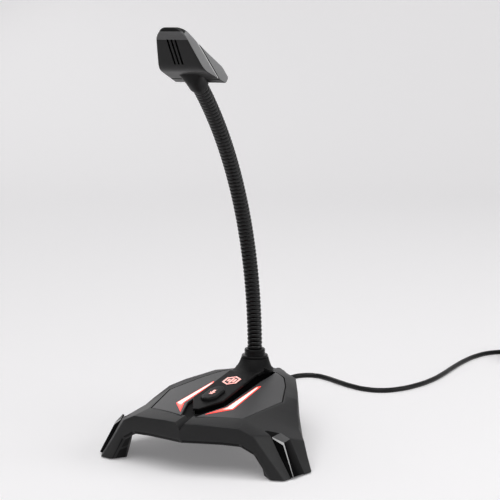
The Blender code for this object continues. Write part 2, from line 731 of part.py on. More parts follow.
def make_console(cover_finish, frame_finish, window_finish):
    cover = add(
        "console_cover",
        slab(CONSOLE_OUTLINE, cover_bottom, cover_top, CONSOLE_CUTS_X, CONSOLE_CUTS_Y),
        cover_finish,
        smooth=True,
    )
    bore = turned(rod(FERRULE_RADIUS + GAP, FRAME_HUB_Z - 10.0, BOSS_TOP_Z + 5.0), 20)
    boolean(cover, add("cover_bore", bore))
    frame = add(
        "console_frame",
        slab(FRAME_OUTLINE, level(FRAME_BOTTOM_Z), frame_top, (), (CONSOLE_JOIN_Y, -HUB_RADIUS)),
        frame_finish,
    )
    inset = FRAME_SETBACK + FRAME_WALL
    rear = -HUB_RADIUS - FRAME_WALL + inset
    half = [(0.0, CONSOLE_TIP_Y), CONSOLE_ELBOW, (CONSOLE_HALF_WIDTH, CONSOLE_JOIN_Y), (CONSOLE_HALF_WIDTH, rear)]
    hollow = grow(both_sides(half), -inset)
    boolean(frame, add("frame_hollow", slab(hollow, level(20.0), level(60.0))))
    boolean(frame, add("frame_bore", turned(rod(FERRULE_RADIUS + GAP, 20.0, 60.0), 20)))

    side_length = EMBLEM_HALF_LENGTH * 0.5
    window_place = both_sides(
        [
            (0.0, EMBLEM_Y - EMBLEM_HALF_LENGTH),
            (EMBLEM_HALF_WIDTH, EMBLEM_Y - side_length),
            (EMBLEM_HALF_WIDTH, EMBLEM_Y + side_length),
            (0.0, EMBLEM_Y + EMBLEM_HALF_LENGTH),
        ]
    )
    boolean(cover, add("window_hole", slab(grow(window_place, GAP), level(20.0), level(60.0))))
    window = slab(window_place, cover_bottom, lambda x, y: console_plane(y) + WINDOW_PROUD)
    add("emblem_window", window, window_finish)
    hole = slab(grow(BUTTON_OUTLINE, SLIDE_GAP), level(20.0), level(60.0))
    boolean(cover, add("button_hole", hole))


def octagon(length, width, cut, middle_y):
    half_length, half_width = length / 2, width / 2
    corner = [(half_width - cut * 0.6, half_length), (half_width, half_length - cut)]
    right = [(x, middle_y - y) for x, y in corner] + [(x, middle_y + y) for x, y in reversed(corner)]
    return both_sides(right)


BUTTON_OUTLINE = octagon(BUTTON_LENGTH, BUTTON_WIDTH, 5.0, BUTTON_Y)
LENS_OUTLINE = octagon(9.0, 3.6, 1.2, BUTTON_Y)


def make_button(board_top, button_finish, lens_finish, switch_finish):
    slide = joint_empty("mute_slide", (0.0, BUTTON_Y, console_plane(BUTTON_Y)))
    plunger_top = board_top + GAP + SWITCH_HEIGHT + PLUNGER_HEIGHT
    stem_low = plunger_top + GAP + BUTTON_TRAVEL
    button = add(
        "mute_button",
        slab(
            BUTTON_OUTLINE,
            lambda x, y: console_plane(y) - BUTTON_DEPTH,
            lambda x, y: console_plane(y) + BUTTON_PROUD - 0.012 * x * x,
            (-3.0, 0.0, 3.0),
        ),
        button_finish,
        slide,
    )
    place = Matrix.Translation((0, BUTTON_Y, 0))
    stem = turned(rod(STEM_RADIUS, stem_low, console_plane(BUTTON_Y)), 12, place)
    boolean(button, add("button_stem", stem, parent=slide), "UNION")
    seat = slab(grow(LENS_OUTLINE, GAP), lambda x, y: console_plane(y) + BUTTON_PROUD - 1.1, level(60.0))
    boolean(button, add("lens_seat", seat, parent=slide))
    lens = slab(
        LENS_OUTLINE,
        lambda x, y: console_plane(y) + BUTTON_PROUD - 1.1 + GAP,
        lambda x, y: console_plane(y) + BUTTON_PROUD + WINDOW_PROUD,
    )
    add("mute_lens", lens, lens_finish, slide)
    half = SWITCH_SIZE / 2
    low = board_top + GAP
    switch = add(
        "tact_switch",
        box((-half, BUTTON_Y - half, low), (half, BUTTON_Y + half, low + SWITCH_HEIGHT)),
        switch_finish,
    )
    plunger = turned(rod(PLUNGER_RADIUS, low + 1.0, plunger_top), 12, place)
    boolean(switch, add("switch_plunger", plunger), "UNION")


# ------------------------------------------------------------------ neck
def make_clamp(collar_finish, steel_finish):
    ferrule_top = NECK_START_Z - GAP
    add(
        "neck_ferrule",
        turned(tube(LEAD_RADIUS + 2 * GAP, FERRULE_RADIUS, FERRULE_BOTTOM_Z, ferrule_top), 20),
        steel_finish,
        smooth=True,
    )
    nut_top = FRAME_BOTTOM_Z - GAP
    add("neck_nut", nut_with_round_bore(nut_top), steel_finish)
    low = BOSS_TOP_Z + GAP
    profile = (
        (FERRULE_RADIUS + GAP, low),
        (COLLAR_FLANGE_RADIUS, low),
        (COLLAR_FLANGE_RADIUS - 0.6, COLLAR_SHOULDER_Z - 0.1),
        (COLLAR_RADIUS + 0.3, COLLAR_SHOULDER_Z),
        (COLLAR_RADIUS, COLLAR_SHOULDER_Z + 0.3),
        (COLLAR_RADIUS, COLLAR_TOP_Z - 1.2),
        (COLLAR_RADIUS - 0.4, COLLAR_TOP_Z - 0.4),
        (COLLAR_RADIUS - 1.2, COLLAR_TOP_Z),
        (NECK_RADIUS + GAP, COLLAR_TOP_Z),
        (NECK_RADIUS + GAP, ferrule_top + GAP),
        (FERRULE_RADIUS + GAP, ferrule_top + GAP),
    )
    add("neck_collar", turned(profile, 24), collar_finish, smooth=True)


def nut_with_round_bore(nut_top):
    """A hexagon nut: a turned ring whose outside is pushed out to six flats."""
    bm = turned(tube(FERRULE_RADIUS + GAP, NUT_RADIUS, nut_top - NUT_HEIGHT, nut_top), 24)
    for vert in bm.verts:
        radius = math.hypot(vert.co.x, vert.co.y)
        if radius > NUT_RADIUS - 0.5:
            angle = math.atan2(vert.co.y, vert.co.x) % (math.pi / 3) - math.pi / 6
            flat = NUT_RADIUS * math.cos(math.pi / 6) / math.cos(angle)
            vert.co.x *= flat / radius
            vert.co.y *= flat / radius
    return bm


def section_profile(number):
    """Loop of one neck section: a ball below, in the cup of the section under it, and a cup above."""
    ball_steps, cup_steps, along_steps = 4, 4, 4
    low = NECK_PIVOTS[number - 2] if number > 1 else 0.0
    high = NECK_PIVOTS[number - 1] if number < NECK_SECTIONS else NECK_END
    loop = []
    if number > 1:
        widest = math.acos(BORE_RADIUS / NECK_RADIUS)
        for i in range(ball_steps, 0, -1):
            turn = widest * i / ball_steps
            loop.append((NECK_RADIUS * math.cos(turn), low - NECK_RADIUS * math.sin(turn)))
        bore_low = low - NECK_RADIUS * math.sin(widest)
    else:
        loop.append((BORE_RADIUS, low))
        bore_low = low
    if number < NECK_SECTIONS:
        rim = math.acos(NECK_RADIUS / CUP_RADIUS)
        deep = math.acos(BORE_RADIUS / CUP_RADIUS)
        top = high - CUP_RADIUS * math.sin(rim)
        bore_high = high - CUP_RADIUS * math.sin(deep)
    else:
        top = bore_high = high
    for i in range(along_steps + 1):
        loop.append((NECK_RADIUS, low + (top - low) * i / along_steps))
    if number < NECK_SECTIONS:
        for i in range(1, cup_steps + 1):
            turn = rim + (deep - rim) * i / cup_steps
            loop.append((CUP_RADIUS * math.cos(turn), high - CUP_RADIUS * math.sin(turn)))
    else:
        loop.append((BORE_RADIUS, high))
    for i in range(1, along_steps):
        loop.append((BORE_RADIUS, bore_high + (bore_low - bore_high) * i / along_steps))
    return loop


def lead_profile(low, high):
    steps = max(1, round((high - low) / 8.0))
    side = [(LEAD_RADIUS, low + (high - low) * i / steps) for i in range(steps + 1)]
    return [(0.0, low)] + side + [(0.0, high)]


def make_neck(neck_finish, lead_finish):
    """The neck's sections and the lead inside them, each hung on the pivot at its lower end."""
    pivots = [None]
    for number, distance in enumerate(NECK_PIVOTS, start=1):
        pivots.append(joint_empty(f"neck_pivot_{number}", neck_point(distance)))
    for number in range(1, NECK_SECTIONS + 1):
        hung = pivots[number - 1]
        section = onto_neck(turned(section_profile(number), NECK_SEGMENTS))
        add(f"neck_section_{number}", section, neck_finish, hung, smooth=True)
        low = NECK_PIVOTS[number - 2] - LEAD_TIP if number > 1 else FERRULE_BOTTOM_Z - NECK_START_Z
        if number < NECK_SECTIONS:
            high = NECK_PIVOTS[number - 1] - LEAD_TIP - LEAD_BREAK
        else:
            high = NECK_END + 2.0
        lead = onto_neck(turned(lead_profile(low, high), 8))
        add(f"mic_lead_{number}", lead, lead_finish, hung)
    return pivots[-1]


# ------------------------------------------------------------------ head
def make_head(shell_finish, rear_finish, capsule_finish, boot_finish, foam_finish, pivot):
    front = add("head_front_shell", paddle(HEAD_PROFILE), shell_finish, pivot)
    rear = add("head_rear_shell", paddle(HEAD_PROFILE), rear_finish, pivot)
    hollow = add("head_hollow", paddle(grow(HEAD_PROFILE, -HEAD_WALL), HEAD_WALL), parent=pivot)
    boolean(front, add("behind_split", split_side(1), parent=pivot))
    boolean(rear, add("before_split", split_side(-1), parent=pivot))
    for shell in (front, rear):
        boolean(shell, hollow)
    boss_profile = (
        (0.0, HEAD_BOSS_START),
        (HEAD_BOSS_RADIUS - HEAD_BOSS_LIP, HEAD_BOSS_START),
        (HEAD_BOSS_RADIUS, HEAD_BOSS_START + HEAD_BOSS_LIP),
        (HEAD_BOSS_FLARE, HEAD_BOSS_LENGTH),
        (0.0, HEAD_BOSS_LENGTH),
    )
    boss = add("neck_boss", turned(boss_profile, 24, head_matrix()), parent=pivot)
    boolean(rear, boss, "UNION")
    room = [(r + GAP if r > 1 else r, z + (GAP if z > 1 else -1.0)) for r, z in boss_profile]
    boolean(front, add("boss_room", turned(room, 24, head_matrix()), parent=pivot))
    bore_steps = [(NECK_RADIUS + GAP, HEAD_START - 3.0 + 2.0 * i) for i in range(7)]
    bore_profile = [(0.0, bore_steps[0][1])] + bore_steps + [(0.0, bore_steps[-1][1])]
    boolean(rear, add("neck_bore", onto_neck(turned(bore_profile, NECK_SEGMENTS)), parent=pivot))
    lead_bore = turned(rod(LEAD_RADIUS + 2 * GAP, NECK_END - 1.0, HEAD_START + HEAD_BOSS_LENGTH + 4.0), 12)
    boolean(rear, add("lead_bore", onto_neck(lead_bore), parent=pivot))
    for number in range(SLOT_COUNT):
        x = (number - (SLOT_COUNT - 1) / 2) * SLOT_PITCH
        boolean(front, add(f"slot_{number}", nose_box(x, SLOT_START, SLOT_LENGTH, SLOT_WIDTH), parent=pivot))

    depth = HEAD_WALL + GAP
    middle = SLOT_START + SLOT_LENGTH / 2
    add("acoustic_foam", nose_block(middle, FOAM_WIDTH, depth, FOAM_THICKNESS), foam_finish, pivot)
    depth += FOAM_THICKNESS + GAP
    place = nose_matrix(middle)
    capsule = turned(rod(CAPSULE_RADIUS, depth, depth + CAPSULE_HEIGHT), 20, place)
    add("mic_capsule", capsule, capsule_finish, pivot, smooth=True)
    boot_inner = CAPSULE_RADIUS + GAP
    boot_profile = (
        (boot_inner, depth),
        (boot_inner + BOOT_WALL, depth),
        (boot_inner + BOOT_WALL, depth + CAPSULE_HEIGHT + GAP + 0.5),
        (0.0, depth + CAPSULE_HEIGHT + GAP + 0.5),
        (0.0, depth + CAPSULE_HEIGHT + GAP),
        (boot_inner, depth + CAPSULE_HEIGHT + GAP),
    )
    add("capsule_boot", turned(boot_profile, 20, place), boot_finish, pivot, smooth=True)


def nose_matrix(along):
    """Frame on the nose face: x sideways, y up the face, z inwards."""
    low, high = Vector(HEAD_PROFILE[1]), Vector(HEAD_PROFILE[2])
    step = (high - low).normalized()
    place = low + step * along
    up = HEAD_ALONG * step.x + HEAD_ACROSS * step.y
    inwards = Vector((1, 0, 0)).cross(up)
    if inwards.dot(HEAD_ACROSS) < 0:
        inwards.negate()
    origin = neck_point(HEAD_START) + HEAD_ALONG * place.x + HEAD_ACROSS * place.y
    return Matrix.Translation(origin) @ Matrix((Vector((1, 0, 0)), up, inwards)).transposed().to_4x4()


def nose_box(x, start, length, width):
    """A cutter through the nose wall."""
    bm = box((x - width / 2, 0.0, -2.0), (x + width / 2, length, HEAD_WALL + 1.0))
    bmesh.ops.transform(bm, matrix=nose_matrix(start), verts=bm.verts)
    return bm


def nose_block(middle, width, depth, thickness):
    half = width / 2
    bm = box((-half, -half, depth), (half, half, depth + thickness))
    bmesh.ops.transform(bm, matrix=nose_matrix(middle), verts=bm.verts)
    return bm


# ------------------------------------------------------------------ cable
CABLE_ROUTE = (
    (0.0, REAR_Y - 4.0, CABLE_EXIT_Z),
    (0.0, REAR_Y + 5.0, CABLE_EXIT_Z),
    (0.0, REAR_Y + 14.5, CABLE_EXIT_Z),
    (-0.8, 48.0, 25.4),
    (-3.2, 59.0, 18.8),
    (-7.4, 71.0, 10.8),
    (-12.5, 84.0, 4.6),
    (-17.0, 96.0, 2.2),
    (-19.6, 108.0, CABLE_RADIUS),
    (-18.6, 119.0, CABLE_RADIUS),
    (-12.5, 127.5, CABLE_RADIUS),
    (-3.5, 130.2, CABLE_RADIUS),
    (6.0, 126.8, CABLE_RADIUS),
    (17.5, 119.6, CABLE_RADIUS),
    (30.0, 112.2, CABLE_RADIUS),
    (43.0, 107.6, CABLE_RADIUS),
    (55.0, 108.9, CABLE_RADIUS),
    (65.5, 117.5, CABLE_RADIUS),
    (74.0, 131.9, CABLE_RADIUS),
    (80.0, 149.5, CABLE_RADIUS),
    (83.5, 170.0, CABLE_RADIUS),
    (85.6, 193.0, CABLE_RADIUS),
    (88.6, 217.0, CABLE_RADIUS),
    (93.6, 237.5, CABLE_RADIUS),
    (100.3, 251.0, CABLE_RADIUS),
    (111.5, 262.7, CABLE_RADIUS),
)
TAIL_ROUTE = (
    (164.6, 239.4, CABLE_RADIUS),
    (167.6, 232.4, 2.3),
    (169.3, 226.6, 3.8),
    (169.6, 220.4, PLUG_SIZE[2] / 2),
    (169.6, 218.4, PLUG_SIZE[2] / 2),
)


def smooth_route(route, step):
    """Even points along a smooth curve through the route's own points."""
    points = [Vector(point) for point in route]
    ends = [points[0] * 2 - points[1]] + points + [points[-1] * 2 - points[-2]]
    fine = []
    for a, b, c, d in zip(ends, ends[1:], ends[2:], ends[3:]):
        for i in range(12):
            t = i / 12
            fine.append(
                0.5 * (2 * b + (c - a) * t + (2 * a - 5 * b + 4 * c - d) * t**2 + (3 * b - a - 3 * c + d) * t**3)
            )
    fine.append(points[-1])
    length = sum((b - a).length for a, b in zip(fine, fine[1:]))
    count = round(length / step)
    even, walked, target = [fine[0]], 0.0, length / count
    for a, b in zip(fine, fine[1:]):
        piece = (b - a).length
        while walked + piece >= target - MERGE and len(even) < count:
            even.append(a.lerp(b, (target - walked) / piece))
            target += length / count
        walked += piece
    even.append(fine[-1])
    return even


def make_cord(name, route, finish):
    data = bpy.data.curves.new(name, "CURVE")
    data.dimensions = "3D"
    data.bevel_depth = CABLE_RADIUS * MM
    data.bevel_resolution = 2
    data.use_fill_caps = True
    points = smooth_route(route, CABLE_STEP)
    spline = data.splines.new("POLY")
    spline.points.add(len(points) - 1)
    for slot, point in zip(spline.points, points):
        slot.co = (*(point * MM), 1.0)
    data.materials.append(finish)
    parts.objects.link(bpy.data.objects.new(name, data))


def make_cable(cord_finish, relief_finish, plug_finish, metal_finish):
    make_cord("usb_cable", CABLE_ROUTE, cord_finish)
    make_cord("usb_cable_tail", TAIL_ROUTE, cord_finish)
    thickness = COIL_TURNS * 2 * CABLE_RADIUS
    low, high = COIL_MEAN_RADIUS - thickness / 2, COIL_MEAN_RADIUS + thickness / 2
    edge = CABLE_RADIUS * 0.6
    loop = (
        (low, edge),
        (low + edge, 0.0),
        (high - edge, 0.0),
        (high, edge),
        (high, thickness - edge),
        (high - edge, thickness),
        (low + edge, thickness),
        (low, thickness - edge),
    )
    coil = turned(loop, 32, Matrix.Translation((*COIL_CENTRE, 0.0)))
    add("cable_coil", coil, cord_finish, smooth=True)

    wall_out = REAR_Y + WALL_LEAN
    bore = CABLE_RADIUS + GAP
    inner_y = REAR_Y - SHELL_WALL - 2.6
    relief = (
        (bore, inner_y),
        (RELIEF_FLANGE, inner_y),
        (RELIEF_FLANGE, inner_y + 1.4),
        (RELIEF_NECK, inner_y + 1.8),
        (RELIEF_NECK, wall_out),
        (RELIEF_FLANGE + 0.5, wall_out),
        (RELIEF_FLANGE + 0.5, wall_out + 1.6),
        (RELIEF_NECK, wall_out + 2.4),
        (bore + 0.7, wall_out + RELIEF_LENGTH),
        (bore, wall_out + RELIEF_LENGTH),
    )
    relief = [(radius, y - REAR_Y) for radius, y in relief]
    add("cable_strain_relief", turned(relief, 16, rear_place(REAR_Y)), relief_finish, smooth=True)

    x, y, z = TAIL_ROUTE[-1]
    wide, long, high = PLUG_SIZE
    body = add("usb_plug_body", box((x - wide / 2, y - GAP - long, 0.0), (x + wide / 2, y - GAP, high)), plug_finish)
    rounded = body.modifiers.new("round_edges", "BEVEL")
    rounded.width = 1.2 * MM
    rounded.segments = 2
    wide_s, long_s, high_s = PLUG_SHELL
    end = y - 2 * GAP - long
    sleeve = add(
        "usb_plug_shell",
        box((x - wide_s / 2, end - long_s, z - high_s / 2), (x + wide_s / 2, end, z + high_s / 2)),
        metal_finish,
    )
    wall = 0.4
    mouth = box(
        (x - wide_s / 2 + wall, end - long_s - 1.0, z + 0.2), (x + wide_s / 2 - wall, end - 2.0, z + high_s / 2 - wall)
    )
    boolean(sleeve, add("plug_mouth", mouth))


# ------------------------------------------------------------------ all of it
def hang_on_origin():
    """Puts the origin on the desk, midway from the head's nose to the end of the strain relief."""
    nose = min((head_matrix() @ Vector((0.0, v, u))).y for u, v in HEAD_PROFILE)
    tail = REAR_Y + WALL_LEAN + RELIEF_LENGTH
    loose = [obj for obj in bpy.data.objects if not obj.parent]
    origin = joint_empty("middle_of_part", (0.0, -(nose + tail) / 2, 0.0))
    for obj in loose:
        obj.parent = origin


def main():
    clear_scene()
    black = material("black_plastic", (0.035, 0.035, 0.037), 0.5)
    grey = material("grey_plastic", (0.085, 0.085, 0.088), 0.45)
    gloss = material("gloss_black", (0.012, 0.012, 0.013), 0.12)
    board = material("circuit_board", (0.02, 0.08, 0.03), 0.5)
    light = material("light_guide", (0.9, 0.12, 0.08), 0.3)
    rubber = material("rubber", (0.02, 0.02, 0.02), 0.8)
    steel = material("steel", (0.5, 0.5, 0.52), 0.35, 1.0)
    ballast = material("zinc_ballast", (0.35, 0.35, 0.36), 0.5, 1.0)
    sleeve = material("neck_sleeve", (0.02, 0.02, 0.021), 0.55)
    cord = material("cable_jacket", (0.015, 0.015, 0.016), 0.5)
    lead = material("lead_jacket", (0.1, 0.02, 0.02), 0.6)
    foam = material("foam", (0.03, 0.03, 0.03), 0.95)
    capsule = material("capsule_can", (0.6, 0.6, 0.6), 0.3, 1.0)

    make_top_shell(black)
    make_base_trim(grey, light, board, gloss)
    board_top = make_base_inside(black, ballast, board, steel, rubber)
    make_console(grey, gloss, light)
    make_button(board_top, grey, light, black)
    make_clamp(black, steel)
    head_pivot = make_neck(sleeve, lead)
    make_head(grey, black, capsule, rubber, foam, head_pivot)
    make_cable(cord, rubber, rubber, steel)
    hang_on_origin()


main()
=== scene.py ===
"""Gooseneck desk microphone: the looks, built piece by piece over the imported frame.

Sizes are written in millimetres and drawn with X = Y = 0 on the axis of the neck's foot and Z = 0 on
the desk. solid() turns them into metres and puts them where the frame has that foot. The user sits at
-Y and +X is to the right.
"""

import json
import math

import bmesh
import bpy
from bpy.props import FloatProperty, FloatVectorProperty, PointerProperty
from mathutils import Matrix, Vector

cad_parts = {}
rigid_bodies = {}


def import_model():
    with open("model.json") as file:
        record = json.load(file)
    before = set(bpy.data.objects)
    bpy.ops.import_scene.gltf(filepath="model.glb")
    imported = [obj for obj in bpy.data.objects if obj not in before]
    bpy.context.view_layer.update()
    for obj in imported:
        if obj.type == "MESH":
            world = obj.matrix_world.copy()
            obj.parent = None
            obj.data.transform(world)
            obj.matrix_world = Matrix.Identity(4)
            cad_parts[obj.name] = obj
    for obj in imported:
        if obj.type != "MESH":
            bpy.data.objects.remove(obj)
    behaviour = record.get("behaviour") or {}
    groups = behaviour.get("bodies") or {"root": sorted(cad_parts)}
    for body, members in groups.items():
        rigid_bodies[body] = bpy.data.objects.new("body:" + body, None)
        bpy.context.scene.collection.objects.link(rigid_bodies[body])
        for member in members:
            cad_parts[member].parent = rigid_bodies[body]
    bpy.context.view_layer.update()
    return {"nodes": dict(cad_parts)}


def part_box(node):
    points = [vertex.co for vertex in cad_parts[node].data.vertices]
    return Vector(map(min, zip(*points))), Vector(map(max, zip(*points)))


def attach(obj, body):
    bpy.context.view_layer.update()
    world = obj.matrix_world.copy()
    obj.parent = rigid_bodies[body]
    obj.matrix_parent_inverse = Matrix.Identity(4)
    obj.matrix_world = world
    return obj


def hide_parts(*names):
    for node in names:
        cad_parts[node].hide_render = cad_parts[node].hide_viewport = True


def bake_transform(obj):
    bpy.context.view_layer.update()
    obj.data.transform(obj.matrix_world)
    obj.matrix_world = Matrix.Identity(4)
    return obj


bl_info = {
    "name": "Gooseneck Microphone",
    "version": (1, 0, 0),
    "blender": (4, 5, 0),
    "location": "View3D > Sidebar > Microphone",
    "description": "Builds a gooseneck desk microphone over its packed frame",
    "category": "Add Mesh",
}

for startup_object in list(bpy.data.objects):
    bpy.data.objects.remove(startup_object)
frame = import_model()

MM = 0.001
GAP = 0.3
FERRULE_LOW, FERRULE_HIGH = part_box("neck_ferrule")
FOOT = Vector(((FERRULE_LOW.x + FERRULE_HIGH.x) / 2, (FERRULE_LOW.y + FERRULE_HIGH.y) / 2, 0.0))

# ---- neck and head
NECK_BEND_RADIUS = 232.0
NECK_START_Z = 49.0
NECK_FIRST_PIVOT = 29.5
NECK_SECTION = 25.0
NECK_BODIES = ("base", "neck_2", "neck_3", "neck_4", "neck_5", "neck_6", "neck_7", "head")
NECK_END = 211.4
NECK_BORE = 5.3
SLEEVE_BORE = 3.5
SLEEVE_START = 0.333
RIBS_FROM = 42.0
HEAD_START = NECK_FIRST_PIVOT + NECK_SECTION * (len(NECK_BODIES) - 1)

# ---- base
BOW_Y = -117.0
BOW_SWEEP = 0.237
SHELL_WALL = 3.0
SHELL_LIFT = 0.8
PLATE_Z = 21.5
REAR_Y = 24.0
PANEL_THICKNESS = 1.5
CONSOLE_TIP_Y = -94.0
CONSOLE_JOIN_Y = -20.0
COVER_THICKNESS = 1.5
HUB_RADIUS = 12.5
BOSS_RADIUS = 9.0
BOSS_TOP_Z = 46.5
# The deck's middle line over the bow, over the neck's foot and at the back, and its fall to the sides.
BOW_RIDGE_Z, FOOT_RIDGE_Z, REAR_RIDGE_Z = 33.8, 36.6, 34.0
DECK_CROWN = 0.00193
CONSOLE_TIP_Z = 35.8
CONSOLE_SLOPE = 0.0703
CONSOLE_FALL = 0.6
CONSOLE_HALF_WIDTH = 9.8
HUB_RIM_Z = 38.6
HUB_RIM_RISE = 2.4
HUB_UNDERSIDE_Z = 37.3
SWEEP_RADIUS = 20.0
SWEEP_CURVE = 1.8
EMBLEM_Y = -39.0
BUTTON_Y = -68.0
BUTTON_PROUD = 2.0

# ---- cable
CABLE_RADIUS = 1.8
CABLE_EXIT_Z = 27.7
CABLE_LENGTH = 1.5


# ------------------------------------------------------------------ places and plain helpers
def at(x, y, z):
    """A drawn place in millimetres, as a place in the frame in metres."""
    return FOOT + Vector((x, y, z)) * MM


def lin(value, start, end, first, last):
    """The value between first and last, as value runs from start to end; it stays there beyond them."""
    share = min(1.0, max(0.0, (value - start) / (end - start)))
    return first + (last - first) * share


def ease(share):
    """A share between 0 and 1 that starts and ends gently."""
    share = min(1.0, max(0.0, share))
    return share * share * (3 - 2 * share)


def level(height):
    """The same height everywhere."""
    return lambda x, y: height


def link(obj):
    bpy.context.scene.collection.objects.link(obj)
    return obj


def shade(mesh, angle):
    """Smooth shading, with every edge past the angle kept sharp."""
    mesh.shade_smooth()
    mesh.set_sharp_from_angle(angle=math.radians(angle))


def solid(name, bm, *finishes, smooth=35.0):
    """An object at the origin, from a mesh drawn in millimetres.

    smooth is the angle past which an edge stays sharp.
    """
    for vert in bm.verts:
        vert.co = vert.co * MM + FOOT
    bmesh.ops.recalc_face_normals(bm, faces=bm.faces)
    mesh = bpy.data.meshes.new(name)
    bm.to_mesh(mesh)
    bm.free()
    for finish_name in finishes:
        mesh.materials.append(FINISHES[finish_name])
    if smooth:
        shade(mesh, smooth)
    return link(bpy.data.objects.new(name, mesh))


def bevelled(obj, width, angle=30.0):
    """Rounds the edges that are sharper than the angle."""
    rounding = obj.modifiers.new("rounded_edges", "BEVEL")
    rounding.width = width * MM
    rounding.segments = 2
    rounding.limit_method = "ANGLE"
    rounding.angle_limit = math.radians(angle)
    rounding.miter_outer = "MITER_ARC"
    return obj


def cut(obj, name, bm, *finishes, operation="DIFFERENCE", solver="EXACT"):
    """Takes a shape out of a piece, or joins it on.

    Where the shape has a finish, the faces that it leaves get it.
    """
    cutter = solid(name, bm, *finishes, smooth=0)
    modifier = obj.modifiers.new(operation.lower(), "BOOLEAN")
    modifier.operation = operation
    modifier.solver = solver
    modifier.object = cutter
    if finishes:
        modifier.material_mode = "TRANSFER"


def settle(obj, even_shading=True):
    """Turns what the modifiers make into the object's own plain mesh, and removes their cutters."""
    if even_shading:
        shading = obj.modifiers.new("even_shading", "WEIGHTED_NORMAL")
        shading.keep_sharp = True
    graph = bpy.context.evaluated_depsgraph_get()
    graph.update()
    finished = bpy.data.meshes.new_from_object(obj.evaluated_get(graph))
    finished.name = obj.name
    used = {m.object for m in obj.modifiers if m.type == "BOOLEAN"}
    obj.modifiers.clear()
    obj.data = finished
    for cutter in used:
        bpy.data.objects.remove(cutter)


def ring_walls(bm, rings):
    """Faces between each ring of vertices and the next."""
    for ring, after in zip(rings, rings[1:]):
        for i in range(len(ring)):
            bm.faces.new((ring[i - 1], ring[i], after[i], after[i - 1]))


def lofted(rings, closed=False, triangulated=False):
    """A solid through rings of points, capped at both ends, or closed on itself like a tyre."""
    bm = bmesh.new()
    placed = [[bm.verts.new(point) for point in ring] for ring in rings]
    if closed:
        ring_walls(bm, placed + placed[:1])
        return bm
    ring_walls(bm, placed)
    caps = [bm.faces.new(placed[0]), bm.faces.new(placed[-1])]
    if triangulated:
        bmesh.ops.triangulate(bm, faces=caps)
    return bm


def block(centre, sizes):
    """A box about its centre."""
    bm = bmesh.new()
    bmesh.ops.create_cube(bm, size=1.0, matrix=Matrix.Translation(centre) @ Matrix.Diagonal((*sizes, 1.0)))
    return bm


def turned(profile, segments=48, place=None):
    """A solid of revolution about Z from a closed loop of (radius, height) points."""
    bm = bmesh.new()
    rings = []
    for radius, height in profile:
        if radius < 1e-6:
            rings.append([bm.verts.new((0, 0, height))])
            continue
        angles = [math.tau * i / segments for i in range(segments)]
        rings.append([bm.verts.new((radius * math.cos(a), radius * math.sin(a), height)) for a in angles])
    for lower, upper in zip(rings, rings[1:] + rings[:1]):
        if len(lower) == 1 and len(upper) == 1:
            continue
        for i in range(segments):
            after = i + 1
            corners = [lower[i % len(lower)], lower[after % len(lower)]]
            corners += [upper[after % len(upper)], upper[i % len(upper)]]
            bm.faces.new([v for n, v in enumerate(corners) if v not in corners[:n]])
    if place:
        bmesh.ops.transform(bm, matrix=place, verts=bm.verts)
    return bm


def rod(radius, low, high):
    """The profile of a plain cylinder, for turned()."""
    return ((0.0, low), (radius, low), (radius, high), (0.0, high))


def rectangle(x0, y0, x1, y1):
    return [(x0, y0), (x1, y0), (x1, y1), (x0, y1)]


def fillet(points, radius, steps=4):
    """A closed outline with each corner rounded off; a corner given as (x, y, r) has its own radius."""
    rounded = []
    count = len(points)
    for i in range(count):
        here = Vector(points[i][:2])
        own = points[i][2] if len(points[i]) > 2 else radius
        before = Vector(points[i - 1][:2]) - here
        after = Vector(points[(i + 1) % count][:2]) - here
        reach = min(own, before.length * 0.45, after.length * 0.45)
        if reach < 1e-3:
            rounded.append(tuple(here))
            continue
        start, end = here + before.normalized() * reach, here + after.normalized() * reach
        for step in range(steps + 1):
            t = step / steps
            rounded.append(tuple(start * (1 - t) ** 2 + here * 2 * t * (1 - t) + end * t * t))
    return rounded


def area(outline):
    pairs = [(outline[i - 1], outline[i]) for i in range(len(outline))]
    return sum(before[0] * here[1] - here[0] * before[1] for before, here in pairs)


def grow(outline, distance):
    """The outline with each edge moved outwards by the distance."""
    sign = math.copysign(1.0, area(outline))
    moved = []
    for i, point in enumerate(outline):
        here = Vector(point)
        before = (here - Vector(outline[i - 1])).normalized()
        after = (Vector(outline[(i + 1) % len(outline)]) - here).normalized()
        out_before = Vector((before.y, -before.x)) * sign
        out_after = Vector((after.y, -after.x)) * sign
        corner = (out_before + out_after).normalized()
        moved.append(tuple(here + corner * distance / max(0.3, corner.dot(out_before))))
    return moved


def closer(outline, step):
    """The outline with further points, so that none of its edges is longer than the step."""
    points = []
    for i, end in enumerate(outline):
        start = Vector(outline[i - 1])
        count = math.ceil((Vector(end) - start).length / step)
        points += [tuple(start.lerp(Vector(end), n / count)) for n in range(1, count + 1)]
    return points


def both_sides(half):
    """The full outline of a symmetric piece, from its right half listed from front to back."""
    return list(half) + [(-x, y) for x, y in reversed(half) if x > 1e-3]


def flipped(outline):
    """The outline of the same piece on the other side."""
    return [(-x, y) for x, y in reversed(outline)]


